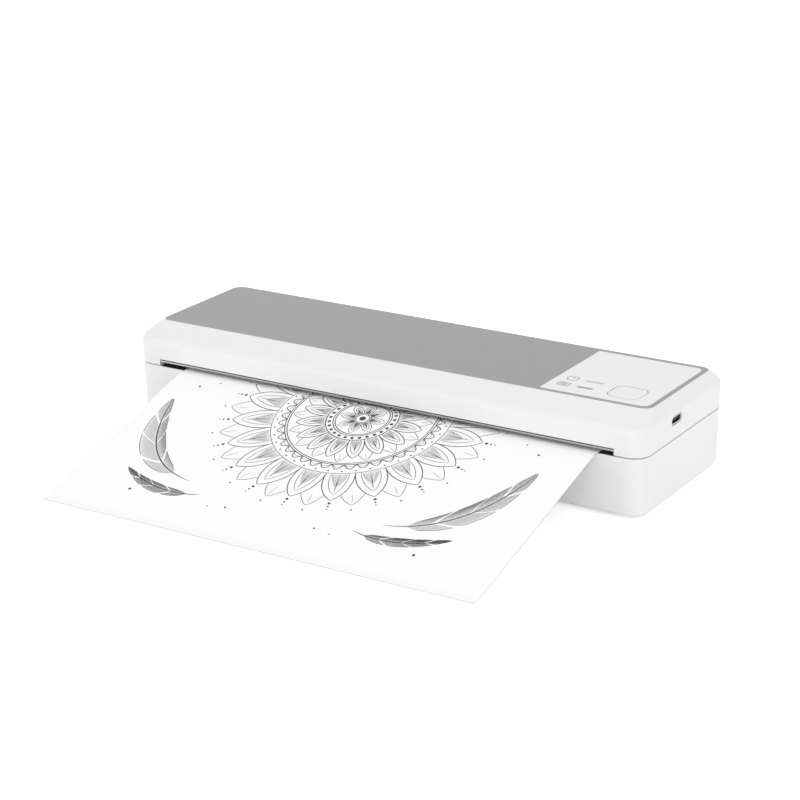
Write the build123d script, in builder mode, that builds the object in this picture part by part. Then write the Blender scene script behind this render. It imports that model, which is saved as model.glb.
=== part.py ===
from build123d import *

import math
import os

# Thermal stencil copier: a long, low machine with a base, a cover hinged along its rear edge
# and a paper path between the two. The cover carries the control panel, the board and the
# sprung thermal head. The base carries the driven platen roller, the motor and the battery.
#
# Frame: the origin is on the table under the middle of the casing. X runs along the length,
# to the right as seen from the front, Y runs to the rear and Z up. Sizes are in millimetres.

os.makedirs("parts", exist_ok=True)

LOW = (Align.CENTER, Align.CENTER, Align.MIN)
HIGH = (Align.CENTER, Align.CENTER, Align.MAX)
SIDES = (-1, 1)

# ---------------------------------------------------------------- driving dimensions
# Sheet that the machine is built round: 210 by 148.5 mm, fed half way through
sheet_width = 210.0
sheet_length = 148.5
sheet_thickness = 0.15
end_margin = 23.8            # from the sheet's path to the casing's end, where the gears are

# Casing
body_depth = 81.0
body_height = 43.55          # underside of the base to the top of the cover
foot_stand = 1.0             # what the feet lift the base off the table
base_height = 26.1           # underside of the base to its rim
seam_gap = 0.55              # open line between base and cover
wall = 2.2
floor_thickness = 2.0
corner_front = 8.0           # plan radius of the front corners
corner_rear = 6.3
draft_side = 0.7             # how far the base's foot stands in, at the ends
draft_front = 1.1            # the same at front and rear
draft_cover = 0.28           # how far the seam stands in from the crown line
base_edge_round = 2.5
crown_rise = 4.85            # height of the soft bevel round the top
crown_front = 14.15          # plan run of that bevel
crown_side = 4.2
crown_rear = 5.0
crown_round = 3.0
rim_width = 0.35             # white edge left round the top inlay

# Top inlay, control panel and what shows in it
inlay_thickness = 1.6
inlay_corner = 4.5
ceiling_thickness = 1.7
cavity_drop = 1.4            # the cavity's bevel starts this far under the crown line
cavity_taper = 2.4
trim_clearance = 0.12
panel_length = 50.15
panel_border_end = 2.15      # grey border between the panel and the inlay's edge
panel_border_front = 2.4
panel_border_rear = 2.55
panel_corner = 3.5
panel_inner_corner = 0.6
button_inset_end = 14.8      # from the panel's right edge to the button's middle
button_inset_front = 12.1
button_width = 14.6
button_depth = 13.9
button_corner = 3.8
button_gap = 0.25
button_travel = 0.5
button_flange = 1.1
button_flange_thickness = 0.8
button_stem_radius = 2.2
lens_width = 1.5
lens_insets = ((17.55, 17.1, 8.0), (17.2, 8.6, 7.1))   # from the panel's left and front, and length

# Paper path, front slot and tear bar
slot_margin = 10.5           # what the slot is wider than the sheet, at each end
slot_height = 2.85
inlet_margin = 5.5
inlet_height = 3.0
tear_thickness = 0.5
tear_gap = 0.65              # open line between the cover's wall and the tear bar under it
tear_drop = 0.85             # height of the toothed lip
tear_setback = 0.15          # how far the lip stands behind the front face
tear_leg = 4.5
tear_end_gap = 0.1
tear_screw_inset = 35.0      # from the slot's end
tear_screw_length = 1.6      # bite in the cover's front wall
tooth_pitch = 0.9
tooth_depth = 0.45

# Hinge
hinge_roll = 3.4             # radius of the cover's rolled rear edge
hinge_inset = 10.0           # from the casing's end to the ear's middle
ear_width = 7.0
ear_radius = 3.1
ear_clearance = 0.35
cheek_width = 3.0
pin_radius = 1.0
running_clearance = 0.05

# Lip that locates the cover, ledge under it and deck between
lip_clearance = 0.25
lip_thickness = 1.1
lip_height = 1.2
lip_rear_inset = 14.5
ledge_height = 3.0
deck_thickness = 1.8
deck_clearance = 0.25
deck_lip = 1.0               # thickness of the deck's lip over the base's wall, along the slot
deck_lip_skin = 0.5          # what is left of the base's wall in front of that lip
deck_lip_clearance = 0.1

# Feet and case screws
foot_radius = 6.0
foot_recess = 0.8
foot_inset_end = 18.0
foot_inset_side = 11.5
post_radius = 2.4
post_inset_rear = 8.5
post_inset_end = 28.0
post_inset_front = 6.7
post_inset_middle = 58.0     # from the casing's end to the front posts
boss_height = 6.0
boss_radius = 3.6
screw_radius = 1.0
screw_head_radius = 2.0
screw_head_height = 1.3
screw_length = 11.0
counterbore_clearance = 0.25

# Platen roller
platen_inset = 18.0          # from the casing's front to the roller's axis
platen_rise = 0.25           # how far the roller stands above the rim
roller_radius = 7.0
roller_margin = 2.5          # what the roller is longer than the sheet is wide, at each end
shaft_radius = 2.5
shaft_stub_left = 1.6        # past the gear
shaft_stub_right = 2.9       # past the frame
deck_window = 5.9            # half width of the deck's window along Y
window_clearance = 1.2

# Side frames and bushes
frame_gap = 3.0              # between the roller's end and the frame
frame_thickness = 1.2
frame_ahead = 10.5           # how far the frame reaches ahead of the roller's axis
frame_behind = 42.5
frame_pad = 3.0              # height of the pads that the frames stand on
tab_length = 9.0
tab_depth = 8.0
bush_radius = 4.0
bush_flange_radius = 4.7
bush_flange = 0.8
clip_radius = 4.2
clip_thickness = 0.6

# Gears and motor
gear_module = 0.5
pressure_angle = 20.0
platen_teeth = 24
idler_teeth = 30
pinion_teeth = 14
backlash = 0.12
gear_width = 3.6
gear_reach = 7.7             # from the frame's outer face to the gears' outer face
idler_direction = -21.0      # from the platen axis to the idler axis, degrees above +Y
pinion_direction = -12.0     # from the idler axis to the motor axis
idler_axle_radius = 1.5
idler_hub_radius = 2.4
idler_clip_radius = 2.7
motor_radius = 10.0
motor_length = 15.0
motor_shaft_radius = 1.0
motor_boss_radius = 3.5
motor_ear_reach = 13.0
motor_ear_radius = 3.2
motor_ear_angle = 20.0       # slope of the line through both ears
motor_ear_thickness = 1.0

# Battery
cell_radius = 9.2
cell_length = 65.0
cell_inset = 76.0            # from the casing's right end to the cells' middle
cell_front_y = -0.5
cell_gap = 0.6
holder_wall = 1.2

# Thermal head
nip_clearance = 0.08
ceramic_half_depth = 6.0
ceramic_thickness = 1.0
heatsink_ahead = 9.5         # how far the heatsink reaches ahead of the roller's axis
heatsink_behind = 10.5
heatsink_plate = 1.3
heatsink_fin = 1.2
heatsink_fin_width = 1.4
heatsink_fin_count = 5
pivot_behind = 13.5
head_pivot_z_above_rim = 3.1
pivot_rod_radius = 1.25
lug_radius = 2.1
lug_width = 8.0
lug_spacing = 90.0
spring_spacing = 52.0
spring_length = 8.0
spring_radius = 2.6
spring_wire = 0.5
spring_turns = 5
coil_share = 0.96            # corner radius of the coil's squared path, as a share of its radius

# Upper guide, magnets and boards
guide_clearance = 1.5        # paper gap between the deck and the guide
guide_thickness = 1.6
guide_gap_rear = 0.65
guide_gap_front = 1.95
guide_gap_end = 1.05
window_gap = 3.0             # between the head's pivot and the rear edge of its window
magnet_radius = 4.0
magnet_thickness = 3.0
magnet_inset = 9.7
magnet_boss_wall = 1.2
magnet_behind = 12.5         # from the roller's axis
magnet_gap = 0.25
strike_size = 9.0
strike_thickness = 1.0
guide_post_radius = 2.6
guide_post_inset = 3.0       # from the guide's front and rear edges
guide_post_inset_end = 10.5
guide_boss_rise = 1.6
guide_boss_radius = 3.4
guide_screw_length = 7.0     # depth of the pilot holes
screw_end_gap = 1.0          # what a screw ends short of its pilot hole
guide_cheek = 2.5
guide_cheek_gap = 3.5        # between the roller's end and the cheek, seen from above
board_length = 65.0
board_depth = 46.0
board_gap_end = 3.0
board_inset_front = 4.1      # behind the panel's front edge
board_thickness = 1.2
board_post_radius = 2.4
board_post_insets = ((8.0, 2.5), (21.0, 42.4), (61.0, 42.4), (61.0, 22.0))   # from its right, front
board_screw_length = 5.0
usb_inset = 10.9             # from the board's front edge
usb_above_rim = 8.8
usb_width = 9.0
usb_height = 3.2
usb_depth = 7.3
usb_wall = 0.3
usb_setback = 0.35
usb_clearance = 0.5
light_source_length = 2.0
light_source_height = 1.0
light_source_gap = 1.0       # between a light source and the bar above it
board_chips = (               # place from the board's right and front, length, depth and height
    (41.0, 32.0, 12.0, 12.0, 1.4),
    (25.0, 30.0, 8.0, 6.0, 1.2),
    (11.0, 28.0, 9.0, 7.0, 3.0),
)
choke_inset_end = 55.0
choke_inset_front = 32.0
choke_radius = 3.5
choke_height = 5.0
switch_size = 6.0
switch_height = 3.5
plunger_radius = 1.7
plunger_depth = 1.0

# Wiring, junction board and paper sensor
ribbon_inset = 8.5           # from the board's right edge
ribbon_behind = 4.0          # behind the board's rear edge
ribbon_width = 10.0
ribbon_thickness = 0.3
ribbon_bend = 1.5
ribbon_clearance = 0.5
head_ribbon_inset = 53.0     # from the board's right edge
head_ribbon_behind = 2.4     # behind the head's pivot
head_ribbon_width = 20.0
head_ribbon_thickness = 0.2
connector_height = 1.4
connector_depth = 3.0
connector_overlap = 2.0      # a socket is this much wider than its ribbon
junction_gap_end = 5.0
junction_width = 10.2
junction_ahead = 6.0         # between the board and the ribbon's upright run
junction_depth = 16.0
junction_rise = 2.0
junction_thickness = 1.2
junction_connector = 2.0
junction_rest = 3.0
junction_rest_inset = 2.0
motor_lead_inset = 6.7       # from the junction board's left edge
battery_lead_inset = 2.0
lead_radius = 0.8
lead_bend = 2.0
sensor_x = -40.0
sensor_width = 6.0
sensor_depth = 4.0
sensor_height = 4.7
sensor_flange = 2.0

# How the sheet comes out
sheet_offset_x = 3.4
sheet_straight = 0.6         # level run past the front face before the sheet droops
sheet_bend_top = 14.0
sheet_bend_bottom = 20.0
sheet_slope = 16.0           # degrees
sheet_flat_end = 1.5
sheet_table_gap = 0.05

# ---------------------------------------------------------------- derived levels and places
half_length = sheet_width / 2 + end_margin
body_length = 2 * half_length
front = -body_depth / 2
rear = body_depth / 2
base_bottom = foot_stand
floor_top = base_bottom + floor_thickness
rim = base_bottom + base_height
cover_edge = rim + seam_gap
top = base_bottom + body_height
crown_line = top - crown_rise
inlay_floor = top - inlay_thickness
ceiling = inlay_floor - ceiling_thickness

inlay_half = half_length - crown_side - rim_width
inlay_front = front + crown_front + rim_width
inlay_rear = rear - crown_rear - rim_width
panel_right = inlay_half - panel_border_end
panel_left = panel_right - panel_length
panel_front = inlay_front + panel_border_front
panel_rear = inlay_rear - panel_border_rear
button_x = panel_right - button_inset_end
button_y = panel_front + button_inset_front
lens_places = [(panel_left + x, panel_front + y, length) for x, y, length in lens_insets]

hinge_x = half_length - hinge_inset
hinge_y = rear - draft_cover - hinge_roll
hinge_z = cover_edge + hinge_roll
foot_x = half_length - foot_inset_end
foot_y = rear - foot_inset_side
post_rear_x = half_length - post_inset_end
post_rear_y = rear - post_inset_rear
post_front_x = half_length - post_inset_middle
post_front_y = front + post_inset_front
lip_rear_end = rear - lip_rear_inset

lip_outer = draft_cover + wall + lip_clearance
lip_inner = lip_outer + lip_thickness
deck_inset = lip_inner + deck_clearance
deck_bottom = rim - deck_thickness
deck_lip_front = front + draft_cover + deck_lip_skin
pad_top = floor_top + frame_pad
boss_top = floor_top + boss_height

platen_y = front + platen_inset
platen_z = rim + platen_rise - roller_radius
roller_half = sheet_width / 2 + roller_margin
frame_inner_x = roller_half + frame_gap
frame_outer_x = frame_inner_x + frame_thickness
frame_front = platen_y - frame_ahead
frame_rear = platen_y + frame_behind
gear_x = frame_outer_x + gear_reach
shaft_left = gear_x + shaft_stub_left
shaft_right = frame_outer_x + shaft_stub_right
platen_pitch = gear_module * platen_teeth / 2
idler_pitch = gear_module * idler_teeth / 2
pinion_pitch = gear_module * pinion_teeth / 2
idler_y = platen_y + (platen_pitch + idler_pitch) * math.cos(math.radians(idler_direction))
idler_z = platen_z + (platen_pitch + idler_pitch) * math.sin(math.radians(idler_direction))
motor_y = idler_y + (idler_pitch + pinion_pitch) * math.cos(math.radians(pinion_direction))
motor_z = idler_z + (idler_pitch + pinion_pitch) * math.sin(math.radians(pinion_direction))
motor_ears = [(motor_y + way * motor_ear_reach * math.cos(math.radians(motor_ear_angle)),
               motor_z + way * motor_ear_reach * math.sin(math.radians(motor_ear_angle)))
              for way in (-1, 1)]

sheet_bottom = rim + platen_rise + nip_clearance
sheet_top = sheet_bottom + sheet_thickness
ceramic_bottom = sheet_top + nip_clearance
heatsink_bottom = ceramic_bottom + ceramic_thickness
fin_bottom = heatsink_bottom + heatsink_plate
heatsink_top = fin_bottom + heatsink_fin
heatsink_front = platen_y - heatsink_ahead
heatsink_rear = platen_y + heatsink_behind
head_pivot_y = platen_y + pivot_behind
pivot_z = rim + head_pivot_z_above_rim

lip_front = front + draft_cover + tear_setback
leg_front = front + draft_cover + wall
slot_width = sheet_width + 2 * slot_margin
slot_top = cover_edge + slot_height
tear_top = slot_top - tear_gap
inlet_width = sheet_width + 2 * inlet_margin
tear_half = slot_width / 2 - tear_end_gap
tear_screw_x = slot_width / 2 - tear_screw_inset
tear_screw_z = slot_top + tear_leg / 2

guide_bottom = rim + guide_clearance
guide_top = guide_bottom + guide_thickness
guide_half = half_length - draft_cover - wall - guide_gap_end
guide_front = front + draft_cover + wall + guide_gap_front
guide_rear = hinge_y - ear_radius - guide_gap_rear
guide_cheek_x = roller_half + guide_cheek_gap
window_rear = head_pivot_y + window_gap
magnet_x = half_length - magnet_inset
magnet_y = platen_y + magnet_behind

board_right = half_length - board_gap_end
board_left = board_right - board_length
board_front = panel_front + board_inset_front
board_rear = board_front + board_depth
board_posts = [(board_right - x, board_front + y) for x, y in board_post_insets]
usb_y = board_front + usb_inset
usb_z = rim + usb_above_rim
board_top = usb_z - usb_height / 2
board_bottom = board_top - board_thickness
lens_bottom = board_top + light_source_height + light_source_gap
switch_top = board_top + switch_height
stem_bottom = switch_top + button_travel + nip_clearance + plunger_depth

spring_seat = heatsink_top + spring_length

ribbon_x = board_right - ribbon_inset
ribbon_y = board_rear + ribbon_behind
head_ribbon_x = board_right - head_ribbon_inset
head_ribbon_y = head_pivot_y + head_ribbon_behind
junction_right = half_length - junction_gap_end
junction_left = junction_right - junction_width
junction_rear = ribbon_y - junction_ahead
junction_front = junction_rear - junction_depth
cell_x = half_length - cell_inset

deck_posts = [(x, post_rear_y) for x in (-post_rear_x, 0, post_rear_x)]
deck_posts += [(x, post_front_y) for x in (-post_front_x, post_front_x)]
guide_posts = [(x, guide_rear - guide_post_inset) for x in (-post_rear_x, 0, post_rear_x)]
guide_posts += [(side * (half_length - guide_post_inset_end), guide_front + guide_post_inset)
                for side in SIDES]
spring_places = [(x, platen_y) for x in (-spring_spacing, 0, spring_spacing)]
frame_tabs = (frame_front + tab_depth / 2, frame_rear - tab_depth / 2)
print("hinge axis", round(hinge_y, 3), round(hinge_z, 3),
      "head pivot", round(head_pivot_y, 3), round(pivot_z, 3))
print("socket", round(usb_y, 3), round(usb_z, 3), "feet", round(foot_x, 3), round(foot_y, 3))
print("platen", round(platen_y, 3), round(platen_z, 3), "idler", round(idler_y, 3), round(idler_z, 3),
      "motor", round(motor_y, 4), round(motor_z, 4))


# ---------------------------------------------------------------- shared profiles
def plan(half_x, y_front, y_rear, radius_front, radius_rear):
    """Draw a rectangle with rounded corners, seen from above, into the open sketch."""
    with Locations((0, (y_front + y_rear) / 2)):
        Rectangle(2 * half_x, y_rear - y_front)
    fillet(vertices().group_by(Axis.Y)[0], radius=radius_front)
    fillet(vertices().group_by(Axis.Y)[-1], radius=radius_rear)


def casing_plan(inset_ends, inset_sides):
    """Draw the casing's plan, set in from its widest line at the ends and at front and rear."""
    plan(half_length - inset_ends, front + inset_sides, rear - inset_sides,
         corner_front - inset_sides, corner_rear - inset_sides)


def panel_plan(grow):
    """Draw the control panel's plan, grown by a clearance."""
    width = panel_right - panel_left + 2 * grow
    depth = panel_rear - panel_front + 2 * grow
    with Locations(((panel_left + panel_right) / 2, (panel_front + panel_rear) / 2)):
        Rectangle(width, depth)
    fillet(vertices().group_by(Axis.X)[0], radius=panel_inner_corner)
    fillet(vertices().group_by(Axis.X)[-1], radius=panel_corner + grow)


def button_plan(grow):
    """Draw the button's plan, grown by a clearance."""
    with Locations((button_x, button_y)):
        RectangleRounded(button_width + 2 * grow, button_depth + 2 * grow, button_corner + grow)


def lens_plan(grow):
    """Draw both indicator bars, grown by a clearance."""
    for x, y, length in lens_places:
        with Locations((x, y)):
            Rectangle(length + 2 * grow, lens_width + 2 * grow)


def screw(shank_length, way):
    """Make a pan-head screw on Z: the head lies below its seat when way is 1, above it when -1."""
    Cylinder(screw_radius, shank_length, align=LOW if way > 0 else HIGH)
    Cylinder(screw_head_radius, screw_head_height, align=HIGH if way > 0 else LOW)
    with Locations((0, 0, -way * screw_head_height)):
        Box(screw_head_radius, screw_radius / 2, screw_head_height, mode=Mode.SUBTRACT)
        Box(screw_radius / 2, screw_head_radius, screw_head_height, mode=Mode.SUBTRACT)


def involute(angle):
    """Give the involute function of an angle in radians."""
    return math.tan(angle) - angle


def gear_outline(teeth, phase):
    """Draw a spur gear's outline into the open line; phase is one tooth's angle in degrees."""
    pitch = gear_module * teeth / 2
    base = pitch * math.cos(math.radians(pressure_angle))
    tip = pitch + 0.9 * gear_module
    root = pitch - 1.25 * gear_module
    half = math.pi / (2 * teeth) - backlash / (2 * pitch) + involute(math.radians(pressure_angle))
    start = max(base, root)

    def flank(radius, tooth, way):
        spread = half - involute(math.acos(min(1.0, base / radius)))
        angle = math.radians(phase) + tooth * 2 * math.pi / teeth + way * spread
        return (radius * math.cos(angle), radius * math.sin(angle))

    def at(radius, tooth, share):
        angle = math.radians(phase) + (tooth + share) * 2 * math.pi / teeth
        return (radius * math.cos(angle), radius * math.sin(angle))

    def root_point(tooth, way):
        x, y = flank(start, tooth, way)
        return (x * root / start, y * root / start)

    middle = (start + tip) / 2
    for tooth in range(teeth):
        if start > root:
            Line(root_point(tooth, -1), flank(start, tooth, -1))
        ThreePointArc(flank(start, tooth, -1), flank(middle, tooth, -1), flank(tip, tooth, -1))
        ThreePointArc(flank(tip, tooth, -1), at(tip, tooth, 0), flank(tip, tooth, 1))
        ThreePointArc(flank(tip, tooth, 1), flank(middle, tooth, 1), flank(start, tooth, 1))
        if start > root:
            Line(flank(start, tooth, 1), root_point(tooth, 1))
        ThreePointArc(root_point(tooth, 1), at(root, tooth, 0.5), root_point(tooth + 1, -1))


def meshed_phase(phase, teeth, direction, other_teeth):
    """Give the tooth angle of a gear that meshes, in that direction, with a gear of given phase."""
    return direction + 180 + (180 - (phase - direction) * teeth) / other_teeth


def finish(part, label):
    """Label one piece and write it to its own file."""
    part.label = label
    export_step(part, "parts/" + label + ".step")


# ---------------------------------------------------------------- base shell
with BuildPart() as base_shell:
    with BuildSketch(Plane.XY.offset(base_bottom)):
        casing_plan(draft_side, draft_front)
    with BuildSketch(Plane.XY.offset(rim)):
        casing_plan(draft_cover, draft_cover)
    loft(ruled=True)
    fillet(edges().group_by(Axis.Z)[0], radius=base_edge_round)
    # the hollow, with the same draft as the outside
    with BuildSketch(Plane.XY.offset(floor_top)):
        casing_plan(draft_side + wall, draft_front + wall)
    with BuildSketch(Plane.XY.offset(rim)):
        casing_plan(draft_cover + wall, draft_cover + wall)
    loft(ruled=True, mode=Mode.SUBTRACT)
    # a ledge inside the rim, and above it the lip that finds the cover's wall
    with BuildSketch(Plane.XY.offset(rim)):
        casing_plan(draft_cover + wall / 2, draft_cover + wall / 2)
    extrude(amount=-ledge_height)
    with BuildSketch(Plane.XY.offset(rim)):
        casing_plan(lip_outer, lip_outer)
    extrude(amount=lip_height)
    with BuildSketch(Plane.XY.offset(rim + lip_height)):
        casing_plan(lip_inner, lip_inner)
    extrude(amount=-lip_height - ledge_height, mode=Mode.SUBTRACT)
    # the lip stops beside the paper slot and short of the hinge
    with BuildSketch(Plane.XY.offset(rim)):
        Rectangle(slot_width + 2 * lip_clearance, body_depth)
        with Locations((0, (lip_rear_end + rear) / 2)):
            Rectangle(body_length, rear - lip_rear_end)
    extrude(amount=lip_height, mode=Mode.SUBTRACT)
    # rebate behind the wall's outer skin, for the deck's lip
    with Locations((0, deck_lip_front, rim)):
        Box(slot_width + 2 * lip_clearance, deck_inset, deck_lip,
            align=(Align.CENTER, Align.MIN, Align.MAX), mode=Mode.SUBTRACT)
    # two ears that stand up into the cover's rear notches
    with BuildSketch(*[Plane.YZ.offset(side * hinge_x - ear_width / 2) for side in SIDES]):
        with Locations((hinge_y, hinge_z)):
            Circle(ear_radius)
        with Locations((hinge_y, (rim - ledge_height + hinge_z) / 2)):
            Rectangle(2 * ear_radius, hinge_z - rim + ledge_height)
    extrude(amount=ear_width)
    with BuildSketch(*[Plane.YZ.offset(side * hinge_x - ear_width / 2) for side in SIDES]):
        with Locations((hinge_y, hinge_z)):
            Circle(pin_radius)
    extrude(amount=ear_width, mode=Mode.SUBTRACT)
    # bosses under the deck's posts, drilled from below for the case screws
    with Locations(*[(x, y, floor_top) for x, y in deck_posts]):
        Cylinder(boss_radius, boss_height, align=LOW)
    with Locations(*[(x, y, base_bottom) for x, y in deck_posts]):
        Cylinder(screw_radius + counterbore_clearance, boss_height + floor_thickness,
                 align=LOW, mode=Mode.SUBTRACT)
        Cylinder(screw_head_radius + counterbore_clearance, boss_height,
                 align=LOW, mode=Mode.SUBTRACT)
    # pads under the side frames, with pilot holes
    with Locations(*[(side * (frame_inner_x - tab_length / 2), y, floor_top)
                     for side in SIDES for y in frame_tabs]):
        Box(tab_length, tab_depth, frame_pad, align=LOW)
    with Locations(*[(side * (frame_inner_x - tab_length / 2), y, pad_top)
                     for side in SIDES for y in frame_tabs]):
        Cylinder(screw_radius, frame_pad, align=HIGH, mode=Mode.SUBTRACT)
    # two rests for the junction board
    with Locations(*[((junction_left + junction_right) / 2, y, floor_top)
                     for y in (junction_front + junction_rest_inset, junction_rear - junction_rest_inset)]):
        Box(junction_right - junction_left - junction_rest_inset, junction_rest, junction_rise, align=LOW)
    # recesses for the feet
    with BuildSketch(Plane.XY.offset(base_bottom)):
        with GridLocations(2 * foot_x, 2 * foot_y, 2, 2):
            Circle(foot_radius + counterbore_clearance)
    extrude(amount=foot_recess, mode=Mode.SUBTRACT)
finish(base_shell.part, "base_shell")

with BuildPart() as rubber_feet:
    with BuildSketch(Plane.XY):
        with GridLocations(2 * foot_x, 2 * foot_y, 2, 2):
            Circle(foot_radius)
    extrude(amount=foot_stand + foot_recess)
    fillet(edges().group_by(Axis.Z)[0], radius=foot_stand / 2)
finish(rubber_feet.part, "rubber_feet")

with BuildPart() as case_screws:
    with Locations(*[(x, y, base_bottom + boss_height) for x, y in deck_posts]):
        screw(screw_length, 1)
finish(case_screws.part, "case_screws")

# ---------------------------------------------------------------- deck under the paper
with BuildPart() as paper_deck:
    with BuildSketch(Plane.XY.offset(deck_bottom)):
        casing_plan(deck_inset, deck_inset)
    extrude(amount=deck_thickness)
    # lip over the base's wall, along the slot
    with Locations((0, deck_lip_front + deck_lip_clearance, rim)):
        Box(slot_width, deck_inset, deck_lip - deck_lip_clearance, align=(Align.CENTER, Align.MIN, Align.MAX))
    # posts down to the base's bosses
    with Locations(*[(x, y, boss_top) for x, y in deck_posts]):
        Cylinder(post_radius, rim - boss_top - deck_thickness / 2, align=LOW)
        Cylinder(screw_radius, rim - boss_top - deck_thickness, align=LOW, mode=Mode.SUBTRACT)
    # window for the roller, and one for the gears at the left end
    with BuildSketch(Plane.XY.offset(deck_bottom)):
        with Locations((0, platen_y)):
            Rectangle(2 * (roller_half + window_clearance), 2 * deck_window)
        with Locations((-gear_x + gear_width / 2, platen_y)):
            Rectangle(gear_width + 2 * window_clearance, 2 * (platen_pitch + gear_module))
        # openings for the sensor and the ribbon
        with Locations((sensor_x, post_front_y)):
            Rectangle(sensor_width + 2 * trim_clearance, sensor_depth + 2 * trim_clearance)
        with Locations((ribbon_x, ribbon_y)):
            Rectangle(ribbon_width + 2 * ribbon_clearance, ribbon_thickness + 2 * ribbon_clearance)
        # notches for the ears
        with Locations(*[(side * hinge_x, rear) for side in SIDES]):
            Rectangle(ear_width + 2 * ear_clearance, 2 * (rear - hinge_y + ear_radius + ear_clearance))
    extrude(amount=deck_thickness, mode=Mode.SUBTRACT)
    # shallow pockets for the strike plates
    with BuildSketch(Plane.XY.offset(rim)):
        with Locations(*[(side * magnet_x, magnet_y) for side in SIDES]):
            Rectangle(strike_size + 2 * trim_clearance, strike_size + 2 * trim_clearance)
    extrude(amount=-strike_thickness, mode=Mode.SUBTRACT)
finish(paper_deck.part, "paper_deck")

with BuildPart() as strike_plates:
    with Locations(*[(side * magnet_x, magnet_y, rim) for side in SIDES]):
        Box(strike_size, strike_size, strike_thickness, align=HIGH)
finish(strike_plates.part, "strike_plates")

with BuildPart() as paper_sensor:
    with Locations((sensor_x, post_front_y, rim - nip_clearance)):
        Box(sensor_width, sensor_depth, sensor_height, align=HIGH)
    with Locations((sensor_x, post_front_y, deck_bottom)):
        Box(sensor_width + 2 * sensor_flange, sensor_depth, sensor_flange / 2, align=HIGH)
finish(paper_sensor.part, "paper_sensor")

# ---------------------------------------------------------------- side frames and bushes
for side, name in zip(SIDES, ("left", "right")):
    inner_face = min(side * frame_inner_x, side * frame_outer_x)
    with BuildPart() as side_frame:
        with BuildSketch(Plane.YZ.offset(inner_face)):
            with Locations(((frame_front + frame_rear) / 2, (pad_top + deck_bottom) / 2)):
                Rectangle(frame_rear - frame_front, deck_bottom - pad_top - 2 * nip_clearance)
            with Locations((platen_y, platen_z)):
                Circle(bush_radius, mode=Mode.SUBTRACT)
            if side < 0:
                with Locations((idler_y, idler_z)):
                    Circle(idler_axle_radius, mode=Mode.SUBTRACT)
                with Locations((motor_y, motor_z)):
                    Circle(motor_boss_radius + 2 * trim_clearance, mode=Mode.SUBTRACT)
                with Locations(*motor_ears):
                    Circle(screw_radius, mode=Mode.SUBTRACT)
        extrude(amount=frame_thickness)
        with Locations(*[(side * (frame_inner_x - tab_length / 2), y, pad_top + nip_clearance)
                         for y in frame_tabs]):
            Box(tab_length, tab_depth, frame_thickness, align=LOW)
            Cylinder(screw_radius, frame_thickness, align=LOW, mode=Mode.SUBTRACT)
    finish(side_frame.part, "side_frame_" + name)

with BuildPart() as frame_screws:
    with Locations(*[(side * (frame_inner_x - tab_length / 2), y, pad_top + nip_clearance + frame_thickness)
                     for side in SIDES for y in frame_tabs]):
        screw(frame_pad + frame_thickness - 2 * nip_clearance, -1)
finish(frame_screws.part, "frame_screws")

with BuildPart() as platen_bushes:
    for side in SIDES:
        flange_face = side * (frame_inner_x - bush_flange)
        with BuildSketch(Plane.YZ.offset(min(side * frame_inner_x, flange_face))):
            with Locations((platen_y, platen_z)):
                Circle(bush_flange_radius)
                Circle(shaft_radius + running_clearance, mode=Mode.SUBTRACT)
        extrude(amount=bush_flange)
        with BuildSketch(Plane.YZ.offset(min(side * frame_inner_x, side * frame_outer_x))):
            with Locations((platen_y, platen_z)):
                Circle(bush_radius)
                Circle(shaft_radius + running_clearance, mode=Mode.SUBTRACT)
        extrude(amount=frame_thickness)
finish(platen_bushes.part, "platen_bushes")

# ---------------------------------------------------------------- platen and gear train
with BuildPart() as platen_shaft:
    with BuildSketch(Plane.YZ.offset(-shaft_left)):
        with Locations((platen_y, platen_z)):
            Circle(shaft_radius)
    extrude(amount=shaft_left + shaft_right)
    chamfer(edges().group_by(Axis.X)[0] + edges().group_by(Axis.X)[-1], length=shaft_radius / 6)
finish(platen_shaft.part, "platen_shaft")

with BuildPart() as platen_roller:
    with BuildSketch(Plane.YZ.offset(-roller_half)):
        with Locations((platen_y, platen_z)):
            Circle(roller_radius)
            Circle(shaft_radius, mode=Mode.SUBTRACT)
    extrude(amount=2 * roller_half)
finish(platen_roller.part, "platen_roller")

with BuildPart() as platen_clips:
    for side in SIDES:
        clip_face = side * (frame_outer_x + 2 * nip_clearance)
        with BuildSketch(Plane.YZ.offset(min(clip_face, clip_face + side * clip_thickness))):
            with Locations((platen_y, platen_z)):
                Circle(clip_radius)
                Circle(shaft_radius, mode=Mode.SUBTRACT)
                Rectangle(shaft_radius, 2 * clip_radius, align=(Align.CENTER, Align.MAX), mode=Mode.SUBTRACT)
        extrude(amount=clip_thickness)
finish(platen_clips.part, "platen_clips")

platen_phase = idler_direction
idler_phase = meshed_phase(platen_phase, platen_teeth, idler_direction, idler_teeth)
pinion_phase = meshed_phase(idler_phase, idler_teeth, pinion_direction, pinion_teeth)

with BuildPart() as platen_gear:
    with BuildSketch(Plane(origin=(-gear_x, platen_y, platen_z), x_dir=(0, 1, 0), z_dir=(1, 0, 0))):
        with BuildLine():
            gear_outline(platen_teeth, platen_phase)
        make_face()
        Circle(shaft_radius, mode=Mode.SUBTRACT)
    extrude(amount=gear_width)
finish(platen_gear.part, "platen_gear")

with BuildPart() as idler_gear:
    with BuildSketch(Plane(origin=(-gear_x, idler_y, idler_z), x_dir=(0, 1, 0), z_dir=(1, 0, 0))):
        with BuildLine():
            gear_outline(idler_teeth, idler_phase)
        make_face()
        Circle(idler_axle_radius + running_clearance, mode=Mode.SUBTRACT)
    extrude(amount=gear_width)
finish(idler_gear.part, "idler_gear")

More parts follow.
